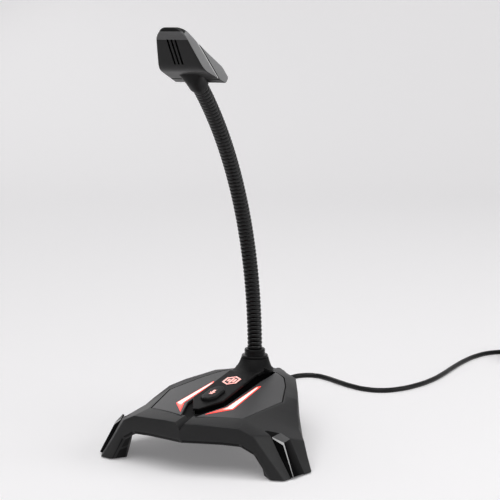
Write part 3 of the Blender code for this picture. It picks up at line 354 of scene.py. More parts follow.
def moulded(outline, bottom, top, rounding=0.0, cuts_x=(), cuts_y=()):
    """A sheet cut to the outline, between two heights that follow x and y, with its upper rim rounded."""
    flat_top = 10.0
    rings = [[(x, y, 0.0) for x, y in outline]]
    for turn in (0.0, 0.33, 0.67, 1.0) if rounding else (0.0,):
        inset = rounding * (1 - math.cos(turn * math.pi / 2))
        drop = rounding * (1 - math.sin(turn * math.pi / 2))
        ring = grow(outline, -inset) if inset else outline
        rings.append([(x, y, flat_top - drop) for x, y in ring])
    bm = lofted(rings, triangulated=True)
    for axis, places in ((0, cuts_x), (1, cuts_y)):
        for place in places:
            spot, normal = Vector(), Vector()
            spot[axis], normal[axis] = place, 1.0
            everything = bm.verts[:] + bm.edges[:] + bm.faces[:]
            bmesh.ops.bisect_plane(bm, geom=everything, plane_co=spot, plane_no=normal, dist=1e-4)
    for vert in bm.verts:
        x, y, z = vert.co
        vert.co.z = bottom(x, y) if z < flat_top / 2 else top(x, y) + z - flat_top
    return bm


def even(start, end, step):
    """Places between start and end, about a step apart."""
    count = max(1, round((end - start) / step))
    return [start + (end - start) * i / count for i in range(1, count)]


# ------------------------------------------------------------------ node trees, shader groups and finishes
def fill(tree, socket, value):
    """Links an input from another node's output, or gives it a plain value."""
    if hasattr(value, "is_output"):
        tree.links.new(value, socket)
    else:
        socket.default_value = value


def node(tree, kind, **values):
    """A new node, with its inputs filled by their names."""
    made = tree.nodes.new(kind)
    for label, value in values.items():
        fill(tree, made.inputs[label.replace("_", " ")], value)
    return made


def arithmetic(tree, operation, *values):
    """The result of one operation on the values."""
    made = tree.nodes.new("ShaderNodeMath")
    made.operation = operation
    for socket, value in zip(made.inputs, values):
        fill(tree, socket, value)
    return made.outputs[0]


def ranged(tree, value, low, high, first=0.0, last=1.0):
    """The value taken from low and high to first and last, and held there beyond them."""
    ends = dict(From_Min=low, From_Max=high, To_Min=first, To_Max=last)
    made = node(tree, "ShaderNodeMapRange", Value=value, **ends)
    return made.outputs["Result"]


def mixed(tree, factor, first, second):
    """A colour between two; the first may come from another node."""
    made = tree.nodes.new("ShaderNodeMix")
    made.data_type = "RGBA"
    fill(tree, made.inputs["Factor"], factor)
    fill(tree, made.inputs["A"], first if hasattr(first, "is_output") else (*first, 1.0))
    fill(tree, made.inputs["B"], (*second, 1.0))
    return made.outputs["Result"]


def noise(tree, scale, detail, roughness=0.5):
    """Noise laid out by the object's own coordinates."""
    place = tree.nodes.new("ShaderNodeTexCoord").outputs["Object"]
    made = node(tree, "ShaderNodeTexNoise", Vector=place, Scale=scale, Detail=detail, Roughness=roughness)
    return made.outputs["Fac"]


def group_of(name, inputs, outputs):
    """An empty shader group with float inputs, given as name to default, and float outputs."""
    group = bpy.data.node_groups.new(name, "ShaderNodeTree")
    for label, value in inputs.items():
        socket = group.interface.new_socket(label, in_out="INPUT", socket_type="NodeSocketFloat")
        socket.default_value = value
    for label in outputs:
        group.interface.new_socket(label, in_out="OUTPUT", socket_type="NodeSocketFloat")
    return group, group.nodes.new("NodeGroupInput").outputs, group.nodes.new("NodeGroupOutput").inputs


def moulded_grain_group():
    """The fine pitted texture of a moulded surface: a height, and a speckle for colour and roughness."""
    group, given, made = group_of("moulded_grain", {"Scale": 1800.0}, ("Height", "Speckle"))
    coarse = noise(group, given["Scale"], 3.0, 0.6)
    place = group.nodes.new("ShaderNodeTexCoord").outputs["Object"]
    pits = node(group, "ShaderNodeTexVoronoi", Vector=place, Scale=given["Scale"])
    pits.feature = "SMOOTH_F1"
    fill(group, made["Height"], arithmetic(group, "MULTIPLY", coarse, pits.outputs["Distance"]))
    fill(group, made["Speckle"], ranged(group, coarse, 0.3, 0.7))
    return group


def edge_wear_and_highlight_group():
    """Where hands have polished the outer edges, and a painted highlight along them: a mask from which way
    the surface points, and noise.
    """
    group, given, made = group_of("edge_wear", {"Amount": 0.5, "Scale": 120.0}, ("Mask",))
    pointing = group.nodes.new("ShaderNodeNewGeometry").outputs["Pointiness"]
    edges = ranged(group, pointing, 0.52, 0.62)
    patches = ranged(group, noise(group, given["Scale"], 4.0, 0.65), 0.35, 0.65, 0.35, 1.0)
    worn_and_highlit = arithmetic(group, "MULTIPLY", edges, patches)
    fill(group, made["Mask"], arithmetic(group, "MULTIPLY", worn_and_highlit, given["Amount"]))
    return group


def handling_group():
    """Broad, faint unevenness, as from handling and dust: one value for colour and roughness."""
    group, given, made = group_of("handling", {"Scale": 28.0}, ("Shade",))
    fill(group, made["Shade"], ranged(group, noise(group, given["Scale"], 5.0, 0.55), 0.3, 0.7))
    return group


SHARED = {}


def effect(tree, name, **values):
    """One of the shared groups, placed in a material's tree with its own values."""
    makers = {"moulded_grain": moulded_grain_group, "edge_wear": edge_wear_and_highlight_group, "handling": handling_group}
    if name not in SHARED:
        SHARED[name] = makers[name]()
    placed = tree.nodes.new("ShaderNodeGroup")
    placed.node_tree = SHARED[name]
    for label, value in values.items():
        placed.inputs[label].default_value = value
    return placed.outputs


def blank_material(name, **constants):
    """A new material with its tree and shader; the constants go on the shader's own sockets."""
    material = bpy.data.materials.new(name)
    material.use_nodes = True
    shader = material.node_tree.nodes["Principled BSDF"]
    for label, value in constants.items():
        shader.inputs[label.replace("_", " ")].default_value = value
    return material, material.node_tree, shader.inputs


def finish(name, colour, roughness, grain=1800.0, depth=0.03, wear_and_highlight=0.35, spread=0.12, **constants):
    """A moulded finish: its colour with grain, handling, and edges lightened partly for wear and partly as a
    painted highlight.
    """
    material, tree, shader = blank_material(name, **constants)
    texture = effect(tree, "moulded_grain", Scale=grain)
    worn_and_highlit = effect(tree, "edge_wear", Amount=wear_and_highlight)
    uneven = effect(tree, "handling")
    speckle = arithmetic(tree, "MULTIPLY", texture["Speckle"], 0.6)
    blend = arithmetic(tree, "ADD", speckle, arithmetic(tree, "MULTIPLY", uneven["Shade"], 0.4))
    tint = mixed(tree, blend, [c * (1 - spread) for c in colour], [c * (1 + spread) for c in colour])
    # The edges' lighter colour: partly wear, partly a painted highlight.
    rubbed_and_highlit = [min(1.0, c * 1.9 + 0.012) for c in colour]
    fill(tree, shader["Base Color"], mixed(tree, worn_and_highlit["Mask"], tint, rubbed_and_highlit))
    fill(tree, shader["Roughness"], ranged(tree, blend, 0.0, 1.0, roughness * 1.08, roughness * 0.9))
    bump = node(tree, "ShaderNodeBump", Strength=1.0, Distance=depth * MM, Height=texture["Height"])
    fill(tree, shader["Normal"], bump.outputs["Normal"])
    return material


def lit_finish(name, edge_colour, core_colour, strength):
    """A lit lens: the colour runs from its edge to its core by the piece's own attribute."""
    material, tree, shader = blank_material(name, Roughness=0.25, Emission_Strength=strength)
    core = tree.nodes.new("ShaderNodeAttribute")
    core.attribute_name = "core"
    cloud = ranged(tree, noise(tree, 260.0, 2.0), 0.3, 0.7, -0.06, 0.06)
    lit = arithmetic(tree, "ADD", core.outputs["Fac"], cloud)
    ramp = node(tree, "ShaderNodeValToRGB", Fac=lit)
    steps = ramp.color_ramp.elements
    steps[0].color = (*edge_colour, 1.0)
    steps[1].color = (*core_colour, 1.0)
    steps[1].position = 0.85
    steps.new(0.42).color = (1.0, 0.16, 0.11, 1.0)
    fill(tree, shader["Emission Color"], ramp.outputs["Color"])
    fill(tree, shader["Base Color"], mixed(tree, lit, (0.25, 0.01, 0.01), (0.6, 0.05, 0.04)))
    return material


FINISHES = {}
INK = (0.003, 0.003, 0.0032)
SOOT = (0.004, 0.004, 0.0042)
COAL = (0.005, 0.005, 0.0052)


def make_finishes(colours):
    """Every finish of the microphone, by the name that the pieces ask for.

    After a finish's colour come its roughness, the scale of its grain, the grain's depth in millimetres,
    its edge lightening, for wear and a painted highlight together, and the spread of its colour, as far as
    they differ from the usual.
    """
    shell, panel, cover = tuple(colours.shell), tuple(colours.panel), tuple(colours.cover)
    edge, core = tuple(colours.light_edge), tuple(colours.light_core)
    FINISHES.update(
        shell=finish("satin_black_shell", shell, 0.46, 1500.0, 0.035, 0.5, Specular_IOR_Level=0.25),
        # A darker copy of the shell's black, which paints the shade on the faces under the front edge.
        lip=finish("matte_front_lip", SOOT, 0.5, 1500.0, 0.035, 0.5, Specular_IOR_Level=0.12),
        panel=finish("satin_grey_panel", panel, 0.44, 1700.0, 0.03, 0.4, Specular_IOR_Level=0.4),
        cover=finish("satin_console_lid", cover, 0.5, 1700.0, 0.025, 0.2, Specular_IOR_Level=0.08),
        gloss=finish("piano_black", INK, 0.14, 600.0, 0.002, 0.1, Specular_IOR_Level=0.04),
        # A light grey that paints the highlight along the leg inserts' ridge.
        edge=finish("bright_edge", (0.42, 0.42, 0.42), 0.3, 600.0, 0.002, 0.1, 0.05),
        insert_top=finish("matte_insert_top", (0.07, 0.07, 0.071), 0.5, 1700.0, 0.03, 0.4),
        # A near-black for the walls of recesses, which paints the shade in them.
        cavity=finish("matte_channel", SOOT, 0.7, 1500.0, 0.03, 0.1, Specular_IOR_Level=0.1),
        sleeve=finish("neck_sleeve_rubber", INK, 0.3, 1400.0, 0.015, 0.4, Specular_IOR_Level=0.32),
        collar=finish("collar_black", SOOT, 0.32, 1600.0, 0.015, 0.2, Specular_IOR_Level=0.15),
        head=finish("head_satin_black", COAL, 0.38, 1700.0, 0.03, 0.3, Specular_IOR_Level=0.26),
        # A pale grey that paints the highlight along the head's parting line.
        parting=finish("bright_parting", (0.72, 0.72, 0.72), 0.35, 600.0, 0.002, 0.1, 0.05),
        # A lighter grey that paints the highlight where the nose curves over to the top.
        brow=finish("head_brow", (0.11, 0.11, 0.112), 0.45, 1700.0, 0.03, 0.3, Specular_IOR_Level=0.5),
        boss=finish("neck_boss_black", COAL, 0.45, 1700.0, 0.02, 0.2, Specular_IOR_Level=0.15),
        # The cheeks' grey is partly their own colour and partly a painted sheen of the light from the right.
        cheek=finish("head_cheek_grey", (0.25, 0.25, 0.253), 0.5, 1900.0, 0.03, 0.3, Specular_IOR_Level=0.4),
        rubber=finish("foot_rubber", (0.01, 0.01, 0.01), 0.75, 900.0, 0.05, 0.2, Specular_IOR_Level=0.2),
        jacket=finish(
            "cable_jacket", (0.007, 0.007, 0.0073), 0.4, 1300.0, 0.02, 0.2, Specular_IOR_Level=0.25
        ),
        button=finish(
            "button_black", (0.006, 0.006, 0.0062), 0.42, 1500.0, 0.015, 0.6, Specular_IOR_Level=0.12
        ),
        board=finish("circuit_board_green", (0.012, 0.06, 0.022), 0.4, 700.0, 0.02, 0.2, 0.3),
        steel=finish("bright_steel", (0.55, 0.55, 0.56), 0.28, 900.0, 0.004, 0.2, 0.08, Metallic=1.0),
        ballast=finish("zinc_plate", (0.3, 0.3, 0.31), 0.5, 500.0, 0.02, 0.2, 0.2, Metallic=1.0),
        foam=finish("open_foam", (0.02, 0.02, 0.02), 0.95, 1100.0, 0.25, 0.1, 0.4),
        lead=finish("lead_jacket", (0.12, 0.012, 0.01), 0.5, 1300.0, 0.02, 0.1),
        contact=finish("white_tongue", (0.7, 0.7, 0.69), 0.45, 900.0, 0.01, 0.1),
        lens=finish("smoked_lens", (0.012, 0.004, 0.004), 0.14, 500.0, 0.002, 0.1, Specular_IOR_Level=0.25),
        strip=lit_finish("lit_strip", edge, core, 1.5),
        symbol=lit_finish("lit_symbol", edge, (1.0, 0.66, 0.6), 1.3),
    )


def paint(node_name, finish_name):
    """Gives a carried-over frame node one of the finishes."""
    mesh = frame["nodes"][node_name].data
    mesh.materials.clear()
    mesh.materials.append(FINISHES[finish_name])


# ------------------------------------------------------------------ shapes of the base
def front_y(x):
    """Where the bow's front edge stands, which is swept back to both sides."""
    return BOW_Y + BOW_SWEEP * abs(x)


def deck_z(x, y):
    """Height of the deck, which is crowned across and highest over the neck's foot."""
    if y < 0:
        ridge = lin(y, BOW_Y, 0.0, BOW_RIDGE_Z, FOOT_RIDGE_Z)
    else:
        ridge = lin(y, 0.0, REAR_Y, FOOT_RIDGE_Z, REAR_RIDGE_Z)
    return ridge - DECK_CROWN * x * x


def deck(offset):
    """The deck's height and an offset, for moulded()."""
    return lambda x, y: deck_z(x, y) + offset


def console_plane(y):
    """Height of the console's flat tongue, which rises to the hub and falls steeply under it."""
    rise = CONSOLE_SLOPE * (y - CONSOLE_TIP_Y)
    return CONSOLE_TIP_Z + rise - CONSOLE_FALL * max(0.0, y - CONSOLE_JOIN_Y)


def cover_top(x, y):
    """Height of the lid: the tongue, and the sweep from the hub's rim up to the boss."""
    if y < CONSOLE_JOIN_Y + 0.001:
        return console_plane(y)
    radius = max(math.hypot(x, y), BOSS_RADIUS)
    forward = max(0.0, -y / radius) ** 2
    reach = lin(forward, 0.0, 1.0, HUB_RADIUS, SWEEP_RADIUS)
    edge = HUB_RIM_Z + HUB_RIM_RISE * forward
    rise = max(0.0, (reach - radius) / (reach - BOSS_RADIUS)) ** SWEEP_CURVE
    return max(console_plane(y), edge + (BOSS_TOP_Z - edge) * rise)


def cover_bottom(x, y):
    start = console_plane(CONSOLE_JOIN_Y) - COVER_THICKNESS
    if y < CONSOLE_JOIN_Y:
        return console_plane(y) - COVER_THICKNESS
    return lin(y, CONSOLE_JOIN_Y, -HUB_RADIUS, start, HUB_UNDERSIDE_Z)


def hub_arc(radius, steps=14):
    """The hub's outline from where the tongue meets it to its rearmost point."""
    start = math.asin(CONSOLE_HALF_WIDTH / HUB_RADIUS) - math.pi / 2
    places = [start + (math.pi / 2 - start) * i / steps for i in range(steps + 1)]
    return [(radius * math.cos(a), radius * math.sin(a)) for a in places[:-1]] + [(0.0, radius)]


def octagon(length, width, corner, middle_y):
    """A long outline with its four corners cut off."""
    half_length, half_width = length / 2, width / 2
    upper = [(half_width - corner * 0.6, half_length), (half_width, half_length - corner)]
    lower = [(x, middle_y - y) for x, y in upper]
    return both_sides(lower + [(x, middle_y + y) for x, y in reversed(upper)])


TONGUE_OUTLINE = [(1.7, CONSOLE_TIP_Y), (10.2, -75.6), (CONSOLE_HALF_WIDTH, CONSOLE_JOIN_Y)]
CONSOLE_OUTLINE = both_sides(TONGUE_OUTLINE + hub_arc(HUB_RADIUS))
BUTTON_OUTLINE = octagon(24.0, 10.0, 5.0, BUTTON_Y)
LENS_OUTLINE = octagon(9.0, 3.6, 1.2, BUTTON_Y)
PANEL_FRONT = [(4.6, -104.6), (30.5, -92.7), (38.7, -49.4), (29.6, -20.0), (22.4, -4.5), (11.4, 7.6)]
PANEL_BACK = [(12.7, 3.4), (13.1, 0.0), (12.9, -9.0), (12.3, -20.0), (12.3, -78.0)]
PANEL_OUTLINE = PANEL_FRONT + PANEL_BACK
GUIDE_OUTLINE = [(8.2, -98.2), (19.0, -81.2), (16.6, -30.0), (14.7, -33.0), (14.4, -79.6)]
CHANNEL_FRONT = [(1.5, -103.0), (4.6, -103.6), (12.6, -77.5), (12.6, -20.0), (13.1, -9.0)]
CHANNEL_OUTLINE = both_sides(CHANNEL_FRONT + [(13.2, 0.0), (12.3, 4.6), (9.0, 9.6), (0.0, 13.2)])

# From front to back: the deck's middle y and its rim (x, y), then (x, y, z) of the side's crease, its
# lower crease and its foot.
STATIONS = (
    (
        BOW_Y,
        (34.5, front_y(34.5)),
        (42.4, front_y(42.4), 27.3),
        (51.5, front_y(51.5), 13.7),
        (60.7, -102.5, 0.0),
    ),
    (-98.0, (32.0, -93.6), (52.4, -90.0, 23.5), (58.5, -91.0, 12.0), (65.2, -92.0, 0.0)),
    (-80.0, (35.0, -76.0), (61.7, -72.0, 17.0), (65.6, -76.6, 9.0), (70.0, -81.0, 0.0)),
    (-66.0, (37.6, -62.0), (54.3, -61.0, 21.0), (56.6, -62.0, 17.3), (57.0, -62.5, 13.5)),
    (-51.0, (39.9, -49.4), (49.8, -51.5, 26.2), (51.5, -51.0, 21.5), (51.5, -51.0, 14.5)),
    (-40.0, (37.2, -38.5), (44.8, -38.5, 31.8), (46.6, -39.5, 22.0), (46.6, -40.0, 14.5)),
    (-20.0, (32.2, -19.5), (39.8, -25.0, 33.4), (40.3, -24.5, 25.0), (40.3, -24.5, 14.0)),
    (0.0, (23.6, -2.0), (29.0, 0.0, 34.9), (30.2, 0.5, 26.0), (31.5, 1.0, 0.0)),
    (14.0, (19.4, 6.5), (22.2, 9.0, 34.0), (26.2, 10.5, 24.0), (27.2, 13.0, 0.0)),
    (REAR_Y, (13.0, 20.0), (16.5, 17.3, 32.0), (17.6, 18.3, 24.0), (18.6, 19.4, 0.0)),
)
DECK_COLUMNS = ((0.0, 0.0), (0.35, 12.0), (0.7, 24.0))
LIP_TOP = ((0.0, 23.2), (12.0, 23.2), (24.0, 23.2), (35.5, 22.4), (44.2, 17.0), (49.0, 7.8), (53.3, 0.0))
ARCH_EDGE = ((0.0, 20.2), (12.0, 20.2), (24.0, 20.1), (34.6, 19.4), (42.4, 14.9), (47.0, 7.6), (51.2, 0.0))
SOFFIT_END = ((0.0, 20.4), (11.5, 20.4), (23.0, 20.3), (33.5, 19.8), (41.0, 15.6), (44.2, 8.2), (45.5, 0.0))
LEG_INSIDE = ((43.5, -92.0, 15.5), (47.5, -87.0, 8.5), (50.5, -85.0, SHELL_LIFT))
LEG_CORNERS = ((42.4, -107.0, 27.3), (60.7, -102.5, 0.0), (70.0, -81.0, 0.0))
INSERT_OUTLINE = ((17.4, -30.0), (28.4, -30.0), (27.2, -8.0), (21.6, -2.9), (13.8, -3.8))
NOTCH_OUTLINE = ((13.8, -4.8), (23.4, -4.8), (24.3, 1.6), (13.0, 1.2))
NOTCH_DEPTH = 3.2


def shell_rows():
    """Points over the right half of the shell, in rows from under the front lip to the rear wall."""
    rows = []
    for edge, setback in ((SOFFIT_END, 9.0), (ARCH_EDGE, 1.8), (LIP_TOP, 0.0)):
        rows.append([(x, front_y(x) + setback, max(z, SHELL_LIFT)) for x, z in edge])
    for number, (middle_y, rim, *side) in enumerate(STATIONS):
        row = []
        for share, column in DECK_COLUMNS:
            if number == 0:
                x, y = column, front_y(column)
            else:
                x, y = rim[0] * share, middle_y + (rim[1] - middle_y) * share * share
            row.append((x, y, deck_z(x, y) - (0.8 if number == 0 else 0.0)))
        row.append((*rim, deck_z(*rim) - (0.0 if number else 0.2)))
        row += [(x, y, max(z, SHELL_LIFT)) for x, y, z in side]
        rows.append(row)
    wall = [(x, y + 0.5, PLATE_Z) for x, y, z in rows[-1][:3]]
    inner_wall = [(11.0, 21.6, PLATE_Z), (12.5, 20.6, 18.0), (14.0, 20.8, 10.0), (15.5, 21.2, SHELL_LIFT)]
    rows.append(wall + inner_wall)
    return rows


def leg_point(across, up_along, out, side=1):
    """A place on the slanted face of a front leg: across it, up it, and out from it."""
    a, b, c = (Vector(corner) for corner in LEG_CORNERS)
    normal = (b - a).cross(c - a).normalized()
    if normal.x < 0:
        normal.negate()
    up = (Vector((0, 0, 1)) - normal * normal.z).normalized()
    place = a + up.cross(normal).normalized() * across + up * up_along + normal * out
    place.x *= side
    return place


def rear_place(y):
    """A turned piece's place at the cable's exit, with its axis running back along +Y."""
    return Matrix.Translation((0.0, y, CABLE_EXIT_Z)) @ Matrix.Rotation(-math.pi / 2, 4, "X")


# ------------------------------------------------------------------ places on the neck and the head
def neck_point(distance):
    """A place on the neck's middle line, by its distance from the neck's start."""
    turn = max(0.0, distance) / NECK_BEND_RADIUS
    rise = NECK_BEND_RADIUS * math.sin(turn) + min(0.0, distance)
    return Vector((0.0, -NECK_BEND_RADIUS * (1 - math.cos(turn)), NECK_START_Z + rise))


def onto_neck(bm):
    """Bends a mesh drawn straight up Z round the neck's arc, height for distance along it."""
    for vert in bm.verts:
        x, y, distance = vert.co
        turn = max(0.0, distance) / NECK_BEND_RADIUS
        vert.co = neck_point(distance) + Vector((x, y * math.cos(turn), y * math.sin(turn)))
    return bm


# Along the head and across it, from where the neck ends.
HEAD_PROFILE = (
    (0.0, 3.0),
    (26.0, -7.4),
    (44.0, -2.6),
    (50.3, -0.4),
    (52.0, 2.9),
    (27.0, 5.8),
    (6.0, 10.6),
    (-2.0, 8.8),
)
HEAD_ROUNDING = (2.0, 4.5, 4.0, 2.2, 1.0, 9.0, 2.4, 2.0)
HEAD_SPLIT = ((8.6, -0.3), (36.0, 4.9))
HEAD_WALL = 1.8
HEAD_GROOVE = 1.0
HEAD_SHIFT = -0.5
# Width of the painted highlight beside the parting line.
PARTING_HIGHLIGHT_WIDTH = 0.75
CHEEK_FACING = 0.8
# Where the brow's painted highlight lies, along the head and across it.
BROW_ALONG = (46.4, 50.6)
BROW_ACROSS = 1.0
SLOT_HALF_WIDTH = 0.6
SLOT_PITCH = 2.4
SLOTS_MIDDLE = -0.9
SLOTS_UP_THE_NOSE = (3.8, 21.2)
# Height along the head, half width, and reach forward of the boss round the neck's end.
BOSS_RINGS = (
    (2.0, 5.3, 5.3),
    (2.3, 5.8, 5.8),
    (3.0, 6.0, 6.0),
    (6.0, 6.1, 6.1),
    (9.0, 6.5, 6.2),
    (11.5, 7.2, 6.0),
    (14.0, 8.2, 5.5),
    (16.5, 9.6, 4.7),
    (19.0, 10.8, 3.6),
    (21.0, 11.6, 2.6),
)
HEAD_TURN = HEAD_START / NECK_BEND_RADIUS
HEAD_ALONG = Vector((0.0, -math.sin(HEAD_TURN), math.cos(HEAD_TURN)))
HEAD_ACROSS = Vector((0.0, math.cos(HEAD_TURN), math.sin(HEAD_TURN)))
TIP_ROUNDING = 4.4
TIP_REACH = 5.6
HEAD_TIP = 51.5
HEAD_HALF_WIDTH = 17.1
HEAD_TAPER = 0.176
HEAD_DRAFT = 0.194
HEAD_BELLY = 0.65
HEAD_BELLY_ALONG = 26.0
SIDEWAYS = Vector((1.0, 0.0, 0.0))


def turned_frame(place, y_axis, z_axis):
    """The matrix of a frame on the head, whose x runs sideways."""
    return Matrix.Translation(place) @ Matrix((SIDEWAYS, y_axis, z_axis)).transposed().to_4x4()


def head_matrix(along=0.0, across=0.0):
    """The head's own frame: x sideways, then v across the paddle, then u along the neck."""
    origin = neck_point(HEAD_START) + HEAD_ALONG * along + HEAD_ACROSS * across
    return turned_frame(origin, HEAD_ACROSS, HEAD_ALONG)


def nose_matrix():
    """Frame on the nose face from its lower end: x sideways, y up the face, z inwards."""
    low, high = Vector(HEAD_PROFILE[1]), Vector(HEAD_PROFILE[2])
    step = (high - low).normalized()
    up = HEAD_ALONG * step.x + HEAD_ACROSS * step.y
    inwards = SIDEWAYS.cross(up)
    if inwards.dot(HEAD_ACROSS) < 0:
        inwards.negate()
    origin = neck_point(HEAD_START) + HEAD_ALONG * low.x + HEAD_ACROSS * low.y
    return turned_frame(origin, up, inwards)


def head_half_width(u, v):
    """Half the head's width, narrowing to the tip and rounded off there as seen from above."""
    width = HEAD_HALF_WIDTH - HEAD_TAPER * u - HEAD_DRAFT * v + HEAD_BELLY * ease(u / HEAD_BELLY_ALONG)
    past = max(0.0, u - (HEAD_TIP - TIP_REACH)) / TIP_REACH
    return width - TIP_ROUNDING + TIP_ROUNDING * math.sqrt(max(0.0, 1.0 - past**2))


def paddle(profile, inset, edge):
    """The head's solid for one side profile, with its cheeks' edges rounded by edge."""
    columns = 10
    rings = []
    for i in range(columns + 1):
        share = -1 + 2 * i / columns
        rings.append([(share * (head_half_width(u, v) - inset - edge), v, u) for u, v in profile])
    for turn in (0.25, 0.5, 0.75, 1.0):
        shrink = edge * (1 - math.cos(turn * math.pi / 2))
        out = edge * math.sin(turn * math.pi / 2)
        right = [(head_half_width(u, v) - inset - edge + out, v, u) for u, v in grow(profile, -shrink)]
        rings.append(right)
        rings.insert(0, [(-x, v, u) for x, v, u in right])
    bm = lofted(rings, triangulated=True)
    place = Matrix.Translation((HEAD_SHIFT, 0.0, 0.0)) @ head_matrix()
    bmesh.ops.transform(bm, matrix=place, verts=bm.verts)
    return bm


def parting_line():
    """Where the head's parting line starts on its side profile, and which way it runs."""
    low, high = (Vector(point) for point in HEAD_SPLIT)
    return low, (high - low).normalized()


def split_side(side):
    """Everything on one side of the head's parting plane, as a large block."""
    low, along = parting_line()
    reach = 80.0
    bm = block((0.0, side * (reach - HEAD_GROOVE) / 2, 0.0), (reach, reach, 2 * reach))
    turn = Matrix.Rotation(-math.atan2(along.y, along.x), 4, "X")
    bmesh.ops.transform(bm, matrix=head_matrix(low.x, low.y) @ turn, verts=bm.verts)
    return bm


# ------------------------------------------------------------------ geometry nodes
def tree_of(name, sizes, counts=None):
    """An empty geometry tree with named inputs, given as name to default, and one for the material."""
    tree = bpy.data.node_groups.new(name, "GeometryNodeTree")
    tree.interface.new_socket("Geometry", in_out="INPUT", socket_type="NodeSocketGeometry")
    for kind, inputs in (("NodeSocketFloat", sizes), ("NodeSocketInt", counts or {})):
        for label, value in inputs.items():
            socket = tree.interface.new_socket(label, in_out="INPUT", socket_type=kind)
            socket.default_value = value
    tree.interface.new_socket("Material", in_out="INPUT", socket_type="NodeSocketMaterial")
    tree.interface.new_socket("Geometry", in_out="OUTPUT", socket_type="NodeSocketGeometry")
    return tree, tree.nodes.new("NodeGroupInput").outputs, tree.nodes.new("NodeGroupOutput").inputs


def moved_up(tree, mesh, height):
    """The mesh lifted by the height, or lowered where that is negative."""
    place = node(tree, "ShaderNodeCombineXYZ", Z=height)
    return node(tree, "GeometryNodeTransform", Geometry=mesh, Translation=place.outputs[0]).outputs[0]


def finish_tree(tree, last, material, result):
    """Every tree ends in Realize Instances and Set Material."""
    real = node(tree, "GeometryNodeRealizeInstances", Geometry=last)
    dressed = node(tree, "GeometryNodeSetMaterial", Geometry=real.outputs[0], Material=material)
    fill(tree, result, dressed.outputs[0])


def ribbed_tube_tree():
    """A straight ribbed tube up Z: a line is resampled and its radius swells and falls once for each rib."""
    sizes = {"Length": 0.025, "Radius": 0.0045, "Depth": 0.0006, "Pitch": 0.0028, "Phase": 0.0}
    tree, value, made = tree_of("ribbed_tube", sizes, {"Steps": 14, "Sides": 36})
    ribs = arithmetic(tree, "DIVIDE", value["Length"], value["Pitch"])
    count = arithmetic(tree, "ROUND", arithmetic(tree, "MULTIPLY", ribs, value["Steps"]))
    count = arithmetic(tree, "ADD", count, 1.0)
    top = node(tree, "ShaderNodeCombineXYZ", Z=value["Length"])
    line = node(tree, "GeometryNodeCurvePrimitiveLine", End=top.outputs[0])
    path = node(tree, "GeometryNodeResampleCurve", Curve=line.outputs[0], Count=count)
    along = tree.nodes.new("GeometryNodeSplineParameter").outputs["Length"]
    place = arithmetic(tree, "ADD", along, value["Phase"])
    turn = arithmetic(tree, "MULTIPLY", arithmetic(tree, "DIVIDE", place, value["Pitch"]), math.pi)
    swell = arithmetic(tree, "ABSOLUTE", arithmetic(tree, "SINE", turn))
    rounded = arithmetic(tree, "POWER", swell, 0.6)
    fall = arithmetic(tree, "MULTIPLY", arithmetic(tree, "SUBTRACT", 1.0, rounded), value["Depth"])
    radius = arithmetic(tree, "SUBTRACT", value["Radius"], fall)
    ring = node(tree, "GeometryNodeCurvePrimitiveCircle", Resolution=value["Sides"], Radius=1.0)
    tube = node(tree, "GeometryNodeCurveToMesh", Curve=path.outputs[0], Profile_Curve=ring.outputs[0])
    fill(tree, tube.inputs["Scale"], radius)
    soft = node(tree, "GeometryNodeSetShadeSmooth", Geometry=tube.outputs[0])
    finish_tree(tree, soft.outputs[0], value["Material"], made[0])
    return tree


def cross_screw_tree():
    """A pan-head screw with a cross recess on each point of the host mesh."""
    sizes = {"Head Radius": 0.0026, "Head Height": 0.0013, "Shank Radius": 0.0013, "Length": 0.0075}
    tree, value, made = tree_of("cross_screws", sizes)
    radius, height, length = value["Head Radius"], value["Head Height"], value["Length"]
    head = node(tree, "GeometryNodeMeshCylinder", Vertices=32, Radius=radius, Depth=height)
    recessed = moved_up(tree, head.outputs["Mesh"], arithmetic(tree, "MULTIPLY", height, -0.5))
    arm = arithmetic(tree, "MULTIPLY", radius, 1.25)
    slim = arithmetic(tree, "MULTIPLY", radius, 0.26)
    for across, along in ((arm, slim), (slim, arm)):
        size = node(tree, "ShaderNodeCombineXYZ", X=across, Y=along, Z=height)
        bar = node(tree, "GeometryNodeMeshCube", Size=size.outputs[0])
        sunk = moved_up(tree, bar.outputs["Mesh"], arithmetic(tree, "MULTIPLY", height, -1.15))
        carve = tree.nodes.new("GeometryNodeMeshBoolean")
        carve.operation = "DIFFERENCE"
        tree.links.new(recessed, carve.inputs["Mesh 1"])
        tree.links.new(sunk, carve.inputs["Mesh 2"])
        recessed = carve.outputs[0]
    shank = node(tree, "GeometryNodeMeshCylinder", Vertices=20, Radius=value["Shank Radius"], Depth=length)
    raised = moved_up(tree, shank.outputs["Mesh"], arithmetic(tree, "MULTIPLY", length, 0.5))
    joined = tree.nodes.new("GeometryNodeJoinGeometry")
    tree.links.new(recessed, joined.inputs[0])
    tree.links.new(raised, joined.inputs[0])
    points = node(tree, "GeometryNodeMeshToPoints", Mesh=value["Geometry"])
    screws = node(tree, "GeometryNodeInstanceOnPoints", Points=points.outputs[0], Instance=joined.outputs[0])
    finish_tree(tree, screws.outputs[0], value["Material"], made[0])
    return tree


def grown(tree, places, **values):
    """The plain mesh that a tree makes on a host mesh of points, in metres and the frame's own places."""
    mesh = bpy.data.meshes.new("host")
    mesh.from_pydata([tuple(place) for place in places], [], [])
    host = link(bpy.data.objects.new("host", mesh))
    modifier = host.modifiers.new("grown", "NODES")
    modifier.node_group = tree
    for item in tree.interface.items_tree:
        label = item.name.replace(" ", "_").lower()
        if item.item_type == "SOCKET" and item.in_out == "INPUT" and label in values:
            modifier[item.identifier] = values[label]
    graph = bpy.context.evaluated_depsgraph_get()
    graph.update()
    made = bpy.data.meshes.new_from_object(host.evaluated_get(graph))
    bpy.data.objects.remove(host)
    return made


